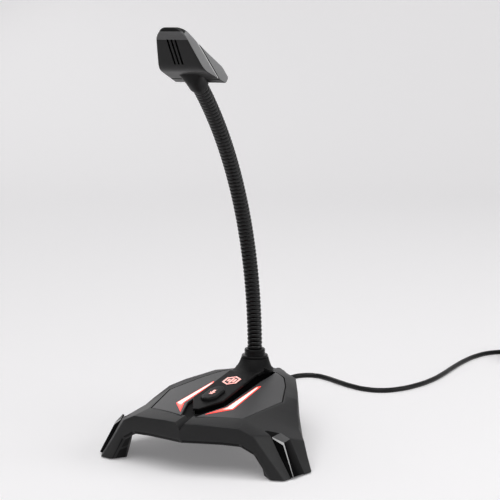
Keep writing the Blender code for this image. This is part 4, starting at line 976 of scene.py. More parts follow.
# ------------------------------------------------------------------ the stage
VIEW_TURN = 22.5
VIEW_TILT = 9.484
CAMERA_PLACE = (341.458, -832.717, 268.554)
FOCAL_LENGTH = 100.36
SENSOR_WIDTH = 36.0
BRIGHTER_TOWARDS = (0.3, 0.954, 0.0)
BACKDROP_START = 1.2
BACKDROP_BEND = 1.2
BACKDROP_HALF_WIDTH = 5.0
BACKDROP_FRONT = -3.0
BACKDROP_TOP = 4.5
LAMPS_AIM = (0.0, -0.05, 0.1)


def make_camera(scene):
    """The viewing camera, up and to the right of the front."""
    lens = bpy.data.cameras.new("viewing_camera")
    lens.lens = FOCAL_LENGTH
    lens.sensor_width = SENSOR_WIDTH
    lens.clip_start = 0.05
    lens.clip_end = 30.0
    camera = link(bpy.data.objects.new("viewing_camera", lens))
    camera.location = at(*CAMERA_PLACE)
    camera.rotation_euler = (math.radians(90.0 - VIEW_TILT), 0.0, math.radians(VIEW_TURN))
    scene.camera = camera


def paper_material(look):
    """Pale paper with a glow of its own, which only the camera and the reflections see."""
    constants = {"Roughness": 0.85, "Specular_IOR_Level": 0.1, "Emission_Color": (*look.backdrop, 1.0)}
    material, tree, shader = blank_material("pale_paper", **constants)
    rays = tree.nodes.new("ShaderNodeLightPath").outputs
    seen = rays["Is Camera Ray"]
    for ray in ("Is Glossy Ray", "Is Transmission Ray"):
        seen = arithmetic(tree, "MAXIMUM", seen, rays[ray])
    thrown_back = [c * look.floor_bounce for c in look.backdrop]
    fill(tree, shader["Base Color"], mixed(tree, seen, thrown_back, look.backdrop))
    away = tree.nodes.new("ShaderNodeVectorMath")
    away.operation = "DOT_PRODUCT"
    away.inputs[1].default_value = BRIGHTER_TOWARDS
    tree.links.new(tree.nodes.new("ShaderNodeNewGeometry").outputs["Position"], away.inputs[0])
    farther = ranged(tree, away.outputs["Value"], -0.2, 2.2, look.floor_glow, look.backdrop_glow)
    fill(tree, shader["Emission Strength"], arithmetic(tree, "MULTIPLY", seen, farther))
    return material


def make_backdrop(look):
    """One sheet, in metres, that lies flat under the microphone and bends up behind it."""
    profile = [(BACKDROP_FRONT, 0.0), (BACKDROP_START, 0.0)]
    for i in range(1, 25):
        turn = math.pi / 2 * i / 24
        place = BACKDROP_START + BACKDROP_BEND * math.sin(turn)
        profile.append((place, BACKDROP_BEND - BACKDROP_BEND * math.cos(turn)))
    profile.append((BACKDROP_START + BACKDROP_BEND, BACKDROP_TOP))
    bm = bmesh.new()
    ends = (-BACKDROP_HALF_WIDTH, BACKDROP_HALF_WIDTH)
    sides = [[bm.verts.new((x, y, z)) for y, z in profile] for x in ends]
    for i in range(len(profile) - 1):
        bm.faces.new((sides[0][i], sides[1][i], sides[1][i + 1], sides[0][i + 1]))
    bmesh.ops.recalc_face_normals(bm, faces=bm.faces)
    bmesh.ops.transform(bm, matrix=Matrix.Rotation(math.radians(VIEW_TURN), 4, "Z"), verts=bm.verts)
    mesh = bpy.data.meshes.new("floor_and_backdrop")
    bm.to_mesh(mesh)
    bm.free()
    mesh.shade_smooth()
    mesh.materials.append(paper_material(look))
    link(bpy.data.objects.new("floor_and_backdrop", mesh))


def make_light(scene, look):
    """Even light from all round, and three soft lamps: name, place and size in metres, and power."""
    world = bpy.data.worlds.new("soft_room")
    world.use_nodes = True
    background = world.node_tree.nodes["Background"]
    background.inputs["Color"].default_value = (1.0, 0.997, 1.0, 1.0)
    background.inputs["Strength"].default_value = look.room_light
    scene.world = world
    for name, place, size, power in (
        ("top_softbox", (0.1, -0.8, 1.8), 2.0, 31.0),
        ("right_softbox", (1.6, 0.1, 0.9), 1.1, 9.0),
        ("rear_softbox", (-1.3, 1.1, 1.0), 1.2, 3.5),
    ):
        data = bpy.data.lights.new(name, "AREA")
        data.energy = power * look.lamp_light
        data.shape = "SQUARE"
        data.size = size
        lamp = link(bpy.data.objects.new(name, data))
        lamp.location = place
        lamp.rotation_euler = (Vector(LAMPS_AIM) - Vector(place)).to_track_quat("-Z", "Y").to_euler()


def make_stage(look):
    """Camera, floor and light."""
    scene = bpy.context.scene
    scene.view_settings.view_transform = "Standard"
    make_camera(scene)
    make_backdrop(look)
    make_light(scene, look)


# ------------------------------------------------------------------ the cable
CABLE_ROUTE = (
    (0.0, 20.0, CABLE_EXIT_Z),
    (0.0, 29.0, CABLE_EXIT_Z),
    (0.0, 38.5, CABLE_EXIT_Z),
    (-0.8, 48.0, 25.4),
    (-3.2, 59.0, 18.8),
    (-7.4, 71.0, 10.8),
    (-12.5, 84.0, 4.6),
    (-17.0, 96.0, 2.2),
    (-19.6, 108.0, CABLE_RADIUS),
    (-18.6, 119.0, CABLE_RADIUS),
    (-12.5, 127.5, CABLE_RADIUS),
    (-3.5, 130.2, CABLE_RADIUS),
    (6.0, 126.8, CABLE_RADIUS),
    (17.5, 119.6, CABLE_RADIUS),
    (30.0, 112.2, CABLE_RADIUS),
    (43.0, 107.6, CABLE_RADIUS),
    (55.0, 108.9, CABLE_RADIUS),
    (65.5, 117.5, CABLE_RADIUS),
    (74.0, 131.9, CABLE_RADIUS),
    (80.0, 149.5, CABLE_RADIUS),
    (83.5, 170.0, CABLE_RADIUS),
    (85.6, 193.0, CABLE_RADIUS),
    (88.6, 217.0, CABLE_RADIUS),
    (93.6, 237.5, CABLE_RADIUS),
    (100.3, 251.0, CABLE_RADIUS),
)
PLUG_REAR = Vector((171.6, 218.1, 4.0))
TAIL_ROUTE = (
    (167.0, 238.2, CABLE_RADIUS),
    (169.6, 232.4, 2.3),
    (171.3, 226.6, 3.8),
    (171.6, 220.6, 4.0),
    (171.6, 214.0, 4.0),
)
COIL_CENTRE = Vector((141.0, 253.0, 0.0))
COIL_START_ANGLE = 160.6
# Degrees wound so far, then the turn's radius and height: inwards on the desk, outwards above, and a
# last one on top.
COIL_WINDING = (
    (0.0, 29.2, 1.8),
    (60.6, 25.9, 1.8),
    (420.6, 25.9, 1.8),
    (480.6, 22.3, 1.8),
    (780.6, 22.3, 1.8),
    (840.6, 18.7, 1.8),
    (1080.6, 18.7, 1.8),
    (1140.6, 18.7, 5.4),
    (1500.6, 18.7, 5.4),
    (1560.6, 22.3, 5.4),
    (1860.6, 22.3, 5.4),
    (1920.6, 25.9, 5.4),
    (2160.6, 25.9, 5.4),
    (2220.6, 25.9, 9.0),
    (2460.6, 25.9, 9.0),
    (2520.6, 29.5, 9.0),
    (2580.6, 29.5, 1.8),
    (2708.6, 29.0, 1.8),
)
TIE_ANGLE = 250.0
TIE_THICKNESS = 0.55
# Share of the plug's length and size of its section there: rounded ends, and three finger grooves in
# the middle.
GRIP_SECTIONS = (
    (0.0, 0.8),
    (0.03, 0.92),
    (0.08, 1.0),
    (0.2, 1.0),
    (0.34, 1.0),
    (0.37, 0.91),
    (0.4, 0.91),
    (0.43, 1.0),
    (0.46, 0.91),
    (0.49, 0.91),
    (0.52, 1.0),
    (0.55, 0.91),
    (0.58, 0.91),
    (0.61, 1.0),
    (0.64, 1.0),
    (0.8, 1.0),
    (0.94, 1.0),
    (0.98, 0.97),
    (1.0, 0.9),
)


def coil_point(wound):
    """A place on the coil, by the degrees wound so far; it rises over the tie."""
    for (start, r0, z0), (end, r1, z1) in zip(COIL_WINDING, COIL_WINDING[1:]):
        if wound <= end:
            break
    share = ease((wound - start) / (end - start))
    radius, height = r0 + (r1 - r0) * share, z0 + (z1 - z0) * share
    angle = COIL_START_ANGLE - wound
    from_tie = abs((angle - TIE_ANGLE + 180.0) % 360.0 - 180.0)
    height += TIE_THICKNESS * ease(1.6 - from_tie / 20.0)
    turn = math.radians(angle)
    return COIL_CENTRE + Vector((radius * math.cos(turn), radius * math.sin(turn), height))


def make_plug():
    """The plug's moulded grip, its folded metal shell and the tongue inside it."""
    wide, long, high = 12.0, 28.0, 8.0
    grip = fillet(rectangle(-wide / 2, -high / 2, wide / 2, high / 2), 2.2, 5)
    bm = lofted([[(x * size, -long * share, z * size) for x, z in grip] for share, size in GRIP_SECTIONS])
    bmesh.ops.translate(bm, verts=bm.verts, vec=PLUG_REAR)
    body = solid("plug_grip", bm, "jacket", smooth=40)
    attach(body, "base")
    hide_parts("usb_plug_body")

    half_w, half_h, wall, reach = 6.0, 2.25, 0.4, 12.0
    front = PLUG_REAR.y - long - GAP - reach
    outer = fillet(rectangle(-half_w, -half_h, half_w, half_h), 0.7, 4)
    inner = grow(outer, -wall)
    sections = ((outer, reach), (outer, 0.0), (inner, 0.0), (inner, reach - 1.0))
    middle_x, middle_z = PLUG_REAR.x, PLUG_REAR.z
    bm = lofted([[(middle_x + x, front + y, middle_z + z) for x, z in section] for section, y in sections])
    shell = solid("plug_shell", bm, "steel", smooth=40)
    middle = PLUG_REAR - Vector((0.0, long + GAP + reach / 2, 0.0))
    for x in (-2.9, 2.9):
        for z in (-half_h, half_h):
            cut(shell, "plug_hole", block(middle + Vector((x, 0.0, z)), (2.4, 2.2, 1.6)))
    settle(shell)
    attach(shell, "base")
    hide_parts("usb_plug_shell")
    bm = block(middle - Vector((0.0, 0.0, 0.75)), (10.4, 10.6, 1.7))
    tongue = bevelled(solid("plug_tongue", bm, "contact", smooth=0), 0.2)
    settle(tongue)
    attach(tongue, "base")
    return body, shell, tongue


def make_tie():
    """A strap round the bundle of turns, drawn in its section (distance from the coil's centre, height)."""
    section = [(15.6, 0.0), (27.6, 0.0), (27.6, 11.9), (23.0, 11.9), (15.6, 8.4)]
    outer = fillet([(r, z + 0.02) for r, z in section], 2.2, 5)
    inner = grow(outer, -TIE_THICKNESS)
    half = 2.6
    loops = ((outer, -half), (outer, half), (inner, half), (inner, -half))
    bm = lofted([[(r, y, z) for r, z in outline] for outline, y in loops], closed=True)
    turn = Matrix.Translation(COIL_CENTRE) @ Matrix.Rotation(math.radians(TIE_ANGLE), 4, "Z")
    bmesh.ops.transform(bm, matrix=turn, verts=bm.verts)
    tie = bevelled(solid("cable_tie", bm, "rubber", smooth=0), 0.12)
    settle(tie)
    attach(tie, "base")
    return tie


def make_strain_relief():
    """A flanged grommet in the rear wall, with a ribbed tail round the cable."""
    wall_out = 24.9
    bore = CABLE_RADIUS + 0.05
    profile = [(bore, 18.4), (3.4, 18.4), (3.4, 19.8), (3.0, 20.2)]
    profile += [(3.0, wall_out + 0.05), (3.7, wall_out + 0.05)]
    profile += [(3.9, wall_out + 0.3), (3.9, wall_out + 1.3), (3.6, wall_out + 1.7)]
    for rib in range(5):
        start = wall_out + 2.0 + rib * 1.75
        outer = lin(rib, 0.0, 4.0, 3.05, 2.5)
        profile += [(outer - 0.5, start), (outer - 0.5, start + 0.35)]
        profile += [(outer, start + 0.6), (outer, start + 1.45)]
    profile += [(2.35, wall_out + 11.2), (2.1, wall_out + 11.5), (bore, wall_out + 11.5)]
    relief = solid("strain_relief", turned(profile, 40, rear_place(0.0)), "rubber", smooth=50)
    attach(relief, "base")
    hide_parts("cable_strain_relief")


def make_cable(sizes):
    """The cable from the rear wall over the desk, round its coil and on to the plug."""
    points = [Vector(place) for place in CABLE_ROUTE]
    last = COIL_WINDING[-1][0]
    turns = round(last / 24.0)
    points += [coil_point(last * i / turns) for i in range(turns + 1)]
    points += [Vector(place) for place in TAIL_ROUTE[1:]]
    data = bpy.data.curves.new("cable", "CURVE")
    data.dimensions = "3D"
    data.resolution_u = 6
    data.bevel_depth = sizes.cable_diameter / 2
    data.bevel_resolution = 5
    data.use_fill_caps = True
    spline = data.splines.new("BEZIER")
    spline.bezier_points.add(len(points) - 1)
    for knot, place in zip(spline.bezier_points, points):
        knot.co = at(*place)
        knot.handle_left_type = knot.handle_right_type = "AUTO"
    data.materials.append(FINISHES["jacket"])
    cable = link(bpy.data.objects.new("cable", data))
    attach(cable, "base")
    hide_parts("usb_cable", "cable_coil", "usb_cable_tail")
    make_strain_relief()
    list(make_plug())
    make_tie()


# ------------------------------------------------------------------ the base
SIDES = (("right", 1), ("left", -1))
FACET_CREASE = math.radians(12.0)


def on_side(outline, side):
    """An outline of the right half, or the same one on the left."""
    return list(outline) if side > 0 else flipped(outline)


def base_shell_mesh():
    """The shell as one mirrored skin; the two rows under its front edge get the lip's darker finish, which
    paints the shade on the front faces.
    """
    bm = bmesh.new()
    grid = []
    for row in shell_rows():
        right = [bm.verts.new(point) for point in row]
        left = [bm.verts.new((-x, y, z)) for x, y, z in row[:0:-1]]
        grid.append(left + right)
    for number, (lower, upper) in enumerate(zip(grid, grid[1:])):
        for i in range(len(lower) - 1):
            face = bm.faces.new((lower[i], lower[i + 1], upper[i + 1], upper[i]))
            face.material_index = 1 if number < 2 else 0
    for side, (bend, middle, foot) in ((1, grid[0][10:13]), (-1, grid[0][2::-1])):
        top, low, end = (bm.verts.new((side * x, y, z)) for x, y, z in LEG_INSIDE)
        crown = grid[0][9 if side > 0 else 3]
        for corners in ((crown, bend, top), (bend, middle, low, top), (middle, foot, end, low)):
            bm.faces.new(corners[:: -side])
    return bm


def make_shell(sizes):
    """The shell with its wall and rounded creases, before anything is cut out of it."""
    shell = solid("top_shell", base_shell_mesh(), "shell", "lip", smooth=0)
    wall = shell.modifiers.new("wall", "SOLIDIFY")
    wall.thickness = SHELL_WALL * MM
    wall.offset = -1.0
    wall.use_even_offset = True
    skin_faces = len(shell.data.polygons)
    settle(shell, even_shading=False)
    bm = bmesh.new()
    bm.from_mesh(shell.data)
    for vert in bm.verts:
        vert.co.z = max(vert.co.z, SHELL_LIFT * MM)
    bm.faces.ensure_lookup_table()
    outer = set(bm.faces[:skin_faces])
    creases = [
        edge
        for edge in bm.edges
        if len(edge.link_faces) == 2
        and all(face in outer for face in edge.link_faces)
        and edge.calc_face_angle(0.0) > FACET_CREASE
    ]
    rounding = {"offset": sizes.crease_radius, "segments": 3, "profile": 0.5, "clamp_overlap": True}
    bmesh.ops.bevel(bm, geom=creases, affect="EDGES", **rounding)
    bmesh.ops.recalc_face_normals(bm, faces=bm.faces)
    bm.to_mesh(shell.data)
    bm.free()
    return shell


def bow_groove():
    """The cut along the bow, deepest on the middle line."""
    return moulded(
        rectangle(-6.0, BOW_Y - 4.0, 6.0, BOW_Y + 22.5),
        lambda x, y: lin(y, BOW_Y, BOW_Y + 21.0, 28.4, 31.2) + 1.4 * abs(x),
        level(44.0),
        cuts_x=(0.0,),
        cuts_y=(BOW_Y,),
    )


def leg_pocket(outline, depth, side):
    """A cutter into the slanted face of a front leg."""
    return lofted([[leg_point(x, y, out, side) for x, y in outline] for out in (-depth, 6.0)])


def finish_shell(shell):
    """Cuts everything that sits in the shell out of it."""
    keel = block((0.0, BOW_Y + 11.25, 29.5), (14.0, 17.5, 5.0))
    cut(shell, "keel", keel, operation="UNION")
    wide = even(-40.0, 40.0, 8.0)
    # The walls that the pockets, channel, console opening, recesses and notches leave get a near-black that
    # paints the shade in them.
    for side in (1, -1):
        pocket = on_side(grow(fillet(PANEL_OUTLINE, 1.0), GAP + 0.1), side)
        cut(shell, "pocket", moulded(pocket, deck(-PANEL_THICKNESS - GAP), deck(5.0), cuts_x=wide), "cavity")
        light = on_side(grow(GUIDE_OUTLINE, -0.6), side)
        cut(shell, "light_opening", moulded(light, deck(-8.0), deck(5.0)))
    cut(shell, "channel", moulded(fillet(CHANNEL_OUTLINE, 0.6), deck(-2.2), deck(5.5), cuts_x=wide), "cavity")
    opening = moulded(grow(CONSOLE_OUTLINE, GAP - 1.0), level(20.0), level(60.0))
    cut(shell, "console_opening", opening, "cavity")
    cut(shell, "bow_groove", bow_groove())
    cut(shell, "cable_hole", turned(rod(3.3, 0.0, 10.0), 32, rear_place(REAR_Y - 5.0)))
    recess = grow(fillet(INSERT_OUTLINE, 0.5), GAP)
    notch = fillet(NOTCH_OUTLINE, 0.8)
    for side in (-1, 1):
        cut(shell, "insert_recess", leg_pocket(recess, 1.0, side), "cavity")
        cut(shell, "notch", leg_pocket(notch, NOTCH_DEPTH, side), "cavity")
    settle(shell, even_shading=False)
    shade(shell.data, 24.0)
    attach(shell, "base")
    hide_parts("base_top_shell")


def make_panels():
    """The two panels let into the deck, each with a slot for its light."""
    wide = even(-40.0, 40.0, 5.0)
    for name, side in SIDES:
        outline = on_side(grow(fillet(PANEL_OUTLINE, 1.0), -0.25), side)
        bm = moulded(outline, deck(-PANEL_THICKNESS), deck(0.0), 0.4, wide, even(-105.0, 12.0, 12.0))
        panel = solid(name + "_deck_panel", bm, "panel", smooth=30)
        slot = on_side(grow(GUIDE_OUTLINE, GAP * 0.5), side)
        cut(panel, "guide_slot", moulded(slot, deck(-4.0), deck(4.0)))
        settle(panel)
        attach(panel, "base")
        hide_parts(name + "_panel")


def distance_inside(outline, x, y):
    """How far a place is from the nearest edge of the outline."""
    here = Vector((x, y))
    distances = []
    for i, end in enumerate(outline):
        start = Vector(outline[i - 1])
        step = Vector(end) - start
        share = min(1.0, max(0.0, (here - start).dot(step) / step.length_squared))
        distances.append((here - start - step * share).length)
    return min(distances)


def make_lights(look):
    """Each light is a proud strip; its own attribute says how lit it is, from its rim inwards."""
    for name, side in SIDES:
        outline = on_side(GUIDE_OUTLINE, side)
        across = [side * x for x in even(7.0, 18.6, 0.45)]
        bm = moulded(outline, deck(-PANEL_THICKNESS), deck(0.2), 0.15, across, even(-98.5, -29.0, 2.4))
        core = bm.verts.layers.float.new("core")
        for vert in bm.verts:
            x, y, z = vert.co
            depth = distance_inside(outline, x, y) if z > deck_z(x, y) - 0.1 else 0.0
            arm = 0.25 + 0.75 * ease((y + 88.0) / 10.0)
            ends = 0.5 + 0.5 * ease((-31.0 - y) / 6.0)
            vert[core] = min(1.0, depth / look.light_edge_width * MM) * arm * ends
        guide = solid(name + "_lit_strip", bm, "strip", smooth=40)
        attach(guide, "base")
        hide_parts(name + "_light_guide")


def make_leg_inserts():
    """A glossy wedge on each front leg, folded along a ridge, with a matte facet on top and a light grey band
    along the ridge that paints its highlight.
    """
    ridge_top, ridge_foot = (19.6, -9.2, 2.4), (17.9, -30.0, 2.1)
    rim_low, ridge_low, ridge_end = (13.98, -5.1, 0.7), (18.5, -10.6, 2.3), (17.65, -30.0, 1.9)
    spots = (ridge_top, ridge_foot, rim_low, ridge_low, ridge_end)
    for name, side in SIDES:
        bm = bmesh.new()
        floor = [bm.verts.new(leg_point(x, y, -0.7, side)) for x, y in INSERT_OUTLINE]
        edge = [bm.verts.new(leg_point(x, y, 0.5, side)) for x, y in INSERT_OUTLINE]
        top, foot, low, under, end = (bm.verts.new(leg_point(*spot, side)) for spot in spots)
        a, b, c, d, e = edge
        bm.faces.new(floor)
        for i in range(4):
            bm.faces.new((floor[i], floor[i + 1], edge[i + 1], edge[i]))
        bm.faces.new((floor[4], floor[0], a, low, e))
        glossy = ((a, end, under, low), (foot, b, c, top), (a, b, foot, end))
        matte = ((e, top, d), (top, c, d))
        # The third set of facets is the ridge's band of painted highlight.
        painted_highlight_facets = ((e, low, under, top), (top, under, end, foot))
        for index, facets in enumerate((glossy, matte, painted_highlight_facets)):
            for corners in facets:
                bm.faces.new(corners).material_index = index
        insert = solid(name + "_gloss_insert", bm, "gloss", "insert_top", "edge", smooth=0)
        bevelled(insert, 0.12, 8.0)
        settle(insert)
        insert.data.shade_smooth()
        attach(insert, "base")
        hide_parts(name + "_leg_insert")


# ------------------------------------------------------------------ the console
LID_SWEEP_END = 21.0
LID_FACING_UP = 0.45
GLOSS_FROM_RADIUS = 11.8
SWEEP_SHARES = (0.0, 0.02, 0.05, 0.09, 0.14, 0.2, 0.28, 0.37, 0.48, 0.6, 0.74, 0.88, 1.0)
TONGUE_SHARES = (0.12, 0.25, 0.4, 0.6, 0.8, 1.0)


def rim_at(angle):
    """Where a ray from the neck's axis crosses the console's outline."""
    ray = Vector((math.cos(angle), math.sin(angle)))
    for i, end in enumerate(CONSOLE_OUTLINE):
        start = Vector(CONSOLE_OUTLINE[i - 1])
        step = Vector(end) - start
        across = ray.x * step.y - ray.y * step.x
        if abs(across) < 1e-9:
            continue
        reach = (start.x * step.y - start.y * step.x) / across
        share = (start.x * ray.y - start.y * ray.x) / across
        if reach > 0 and -1e-6 <= share <= 1 + 1e-6:
            return [tuple(ray * reach)]
    return []


def console_rim():
    """The console's outline: its corners, and a point every four degrees save close to a corner."""
    corner_angles = [math.atan2(y, x) for x, y in CONSOLE_OUTLINE]
    even_angles = [-math.pi + math.tau * i / 90 for i in range(90)]
    angles = {round(angle, 5) for angle in corner_angles + even_angles}
    outline = []
    for angle in sorted(angles):
        if not any(1e-4 < abs(corner - angle) < 0.02 for corner in corner_angles):
            outline += rim_at(angle)
    return outline


def console_lid_mesh():
    """The lid in rings round the neck's bore: sweep, tongue, rounded rim and underside."""
    outline = console_rim()
    inner = grow(outline, -0.55)

    def ring(reach):
        places = [Vector(point).normalized() * reach(Vector(point).length) for point in inner]
        return [(place.x, place.y) for place in places]

    def sweep_end(length):
        return min(length, LID_SWEEP_END)

    bore = ring(lambda length: NECK_BORE)
    flat = [bore]
    for share in SWEEP_SHARES:
        flat.append(ring(lambda length: BOSS_RADIUS + (sweep_end(length) - BOSS_RADIUS) * share))
    for share in TONGUE_SHARES:
        flat.append(ring(lambda length: sweep_end(length) + (length - sweep_end(length)) * share))
    rings = [[(x, y, cover_top(x, y)) for x, y in places] for places in flat]
    for turn in (0.35, 0.7, 1.0):
        drop = 0.5 * (1 - math.cos(turn * math.pi / 2))
        out = math.sin(turn * math.pi / 2)
        places = [Vector(low).lerp(Vector(high), out) for low, high in zip(inner, outline)]
        rings.append([(place.x, place.y, cover_top(*low) - drop) for place, low in zip(places, inner)])
    for places in (outline, grow(outline, -2.0), bore):
        rings.append([(x, y, cover_bottom(x, y)) for x, y in places])
    bm = lofted(rings, closed=True)
    bmesh.ops.remove_doubles(bm, verts=bm.verts, dist=1e-4)
    return bm


def make_console():
    """The console's lid, with its openings for the button and the emblem."""
    cover = solid("console_lid", console_lid_mesh(), "cover", "gloss", smooth=32)
    for face in cover.data.polygons:
        from_axis = (face.center - FOOT).xy.length
        face.material_index = int(face.normal.z < LID_FACING_UP and from_axis > GLOSS_FROM_RADIUS * MM)
    cut(cover, "button_hole", moulded(grow(fillet(BUTTON_OUTLINE, 0.8), 0.4), level(20.0), level(60.0)))
    cut(cover, "window_hole", moulded(long_hexagon(-GAP), level(20.0), level(60.0)))
    settle(cover)
    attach(cover, "base")
    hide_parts("console_cover")


def long_hexagon(inset):
    """The emblem's window, or a smaller outline inside it."""
    tip, shoulder, half = 9.3, 4.65, 5.6
    right = [(0.0, -tip), (half, -shoulder), (half, shoulder)]
    corners = right + [(-x, -y) for x, y in right]
    return grow([(x, EMBLEM_Y + y) for x, y in corners], -inset)


def console_deck(offset):
    """The console's height and an offset, for moulded()."""
    return lambda x, y: console_plane(y) + offset


def make_emblem():
    """A smoked window with a lit, generic sign in it: a hexagon round three level bars."""
    pane = moulded(long_hexagon(0.0), cover_bottom, console_deck(0.1), 0.2)
    window = solid("emblem_pane", pane, "lens", smooth=30)
    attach(window, "base")
    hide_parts("emblem_window")
    pieces = [(long_hexagon(0.9), long_hexagon(1.9))]
    for x, half in ((-2.0, 1.9), (0.0, 4.2), (2.0, 2.9)):
        pieces.append((rectangle(x - 0.62, EMBLEM_Y - half, x + 0.62, EMBLEM_Y + half), None))
    sign = solid("emblem_sign", lit_pieces(pieces, console_deck(0.1)), "symbol", smooth=0)
    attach(sign, "base")


def lit_pieces(pieces, floor):
    """Flat lit shapes, a little proud of a sloping floor, each an outline or a ring between two outlines."""
    sunk, proud = -0.3, 0.12
    bm = bmesh.new()
    core = bm.verts.layers.float.new("core")
    for outline, inner in pieces:
        levels = [(outline, sunk), (outline, proud)] + ([(inner, proud), (inner, sunk)] if inner else [])
        rings = [[bm.verts.new((x, y, floor(x, y) + lift)) for x, y in shape] for shape, lift in levels]
        if inner:
            rings.append(rings[0])
        else:
            bm.faces.new(rings[0])
            bm.faces.new(rings[1])
        ring_walls(bm, rings)
        for vert in (vert for ring in rings for vert in ring):
            vert[core] = 0.75
    return bm


def pill(y, half_x, half_y, radius=0.0):
    """A rounded bar across the middle line."""
    return fillet(rectangle(-half_x, y - half_y, half_x, y + half_y), radius)


def button_top(x, y):
    """The button's slightly domed top."""
    return console_plane(y) + BUTTON_PROUD - 0.012 * x * x


def make_mute_button():
    """The button with its stem, and the pane in it with a lit microphone."""
    bm = moulded(fillet(BUTTON_OUTLINE, 0.8), console_deck(-1.3), button_top, 0.9, even(-5.0, 5.0, 1.0))
    button = solid("mute_key", bm, "button", smooth=50)
    middle = console_plane(BUTTON_Y)
    stem = turned(rod(2.0, middle - 4.4, middle), 24, Matrix.Translation((0, BUTTON_Y, 0)))
    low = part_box("mute_button")[0].z / MM
    for vert in stem.verts:
        if vert.co.z < middle - 1.0:
            vert.co.z = low
    cut(button, "button_stem", stem, operation="UNION")
    lens_outline = fillet(LENS_OUTLINE, 0.5)
    seat = moulded(grow(lens_outline, 0.12), console_deck(BUTTON_PROUD - 1.1), level(60.0))
    cut(button, "lens_seat", seat)
    settle(button)
    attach(button, "mute")
    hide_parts("mute_button")

    lens_top = console_deck(BUTTON_PROUD + 0.05)
    pane = moulded(lens_outline, console_deck(BUTTON_PROUD - 0.8), lens_top, 0.15)
    lens = solid("mute_pane", pane, "lens", smooth=30)
    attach(lens, "mute")
    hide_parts("mute_lens")

    y = BUTTON_Y
    half_turn = [math.pi * i / 12 for i in range(13)]
    cup = [(1.6 * math.cos(math.pi + a), y - 0.3 + 2.0 * math.sin(math.pi + a)) for a in half_turn]
    cup += [(1.05 * math.cos(-a), y - 0.3 + 1.4 * math.sin(-a)) for a in half_turn]
    shapes = (pill(y + 1.3, 0.68, 2.1, 0.65), cup, pill(y - 2.75, 0.28, 0.6), pill(y - 3.55, 1.25, 0.28))
    lit = lit_pieces([(shape, None) for shape in shapes], lens_top)
    sign = solid("mute_symbol", lit, "symbol", smooth=0)
    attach(sign, "mute")


# ------------------------------------------------------------------ under and inside the base
def make_inside():
    """Finishes the frame's own nodes, which are carried over as they are."""
    for node_name, finish_name in (
        ("base_bottom_plate", "shell"),
        ("ballast_plate", "ballast"),
        ("main_board", "board"),
        ("left_led_board", "board"),
        ("right_led_board", "board"),
        ("tact_switch", "button"),
        ("console_frame", "gloss"),
        ("neck_ferrule", "steel"),
        ("neck_nut", "steel"),
        ("mic_capsule", "steel"),
        ("capsule_boot", "rubber"),
        ("acoustic_foam", "foam"),
    ):
        paint(node_name, finish_name)
    for number in range(1, 9):
        paint(f"mic_lead_{number}", "lead")
    for end in ("front", "rear"):
        for name in ("left", "right"):
            paint(f"rubber_foot_{end}_{name}", "rubber")


def make_screws():
    """Four screws under the base, as one piece."""
    places = [at(side * x, y, 21.2) for side in (-1, 1) for x, y in ((34.0, -86.0), (20.5, -3.0))]
    mesh = grown(
        cross_screw_tree(),
        places,
        head_radius=2.6 * MM,
        head_height=1.3 * MM,
        shank_radius=1.3 * MM,
        length=7.5 * MM,
        material=FINISHES["steel"],
    )
    bm = bmesh.new()
    bm.from_mesh(mesh)
    bmesh.ops.remove_doubles(bm, verts=bm.verts, dist=1e-7)
    bmesh.ops.recalc_face_normals(bm, faces=bm.faces)
    bm.to_mesh(mesh)
    bm.free()
    mesh.name = "base_screws"
    shade(mesh, 30.0)
    screws = link(bpy.data.objects.new("base_screws", mesh))
    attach(screws, "base")
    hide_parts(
        *[f"base_screw_{end}_{name}" for end in ("front", "rear") for name in ("left", "right")]
    )


# ------------------------------------------------------------------ the neck
def make_collar():
    """The stepped ring that the neck rises from."""
    low = BOSS_TOP_Z + GAP
    bore = NECK_BORE
    profile = (
        (bore, low),
        (8.4, low),
        (8.7, low + 0.25),
        (8.7, 47.7),
        (8.55, 48.0),
        (8.2, 48.2),
        (7.3, 48.3),
        (6.9, 48.55),
        (6.8, 48.9),
        (6.8, 49.9),
        (6.55, 50.1),
        (6.55, 50.4),
        (6.8, 50.6),
        (6.8, 51.6),
        (6.65, 52.05),
        (6.3, 52.3),
        (5.8, 52.4),
        (4.95, 52.4),
        (4.95, NECK_START_Z),
        (bore, NECK_START_Z),
    )
    collar = solid("collar", turned(profile, 72), "collar", smooth=38)
    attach(collar, "base")
    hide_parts("neck_collar")


def sleeve_mesh(tube, start):
    """A ribbed tube, given in metres, with its bore added and laid along the neck from the start."""
    bm = bmesh.new()
    bm.from_mesh(tube)
    bpy.data.meshes.remove(tube)
    for vert in bm.verts:
        vert.co /= MM
    rims = [edge for edge in bm.edges if edge.is_boundary]
    walls = bmesh.ops.extrude_edge_only(bm, edges=rims)["geom"]
    for vert in walls:
        if isinstance(vert, bmesh.types.BMVert):
            shrink = SLEEVE_BORE / math.hypot(vert.co.x, vert.co.y)
            vert.co.x *= shrink
            vert.co.y *= shrink
    bmesh.ops.bridge_loops(bm, edges=[edge for edge in bm.edges if edge.is_boundary])
    tall = [edge for edge in bm.edges if abs(edge.verts[0].co.z - edge.verts[1].co.z) > 10.0]
    bmesh.ops.subdivide_edges(bm, edges=tall, cuts=11, use_grid_fill=True)
    for vert in bm.verts:
        vert.co.z += start
    return onto_neck(bm)


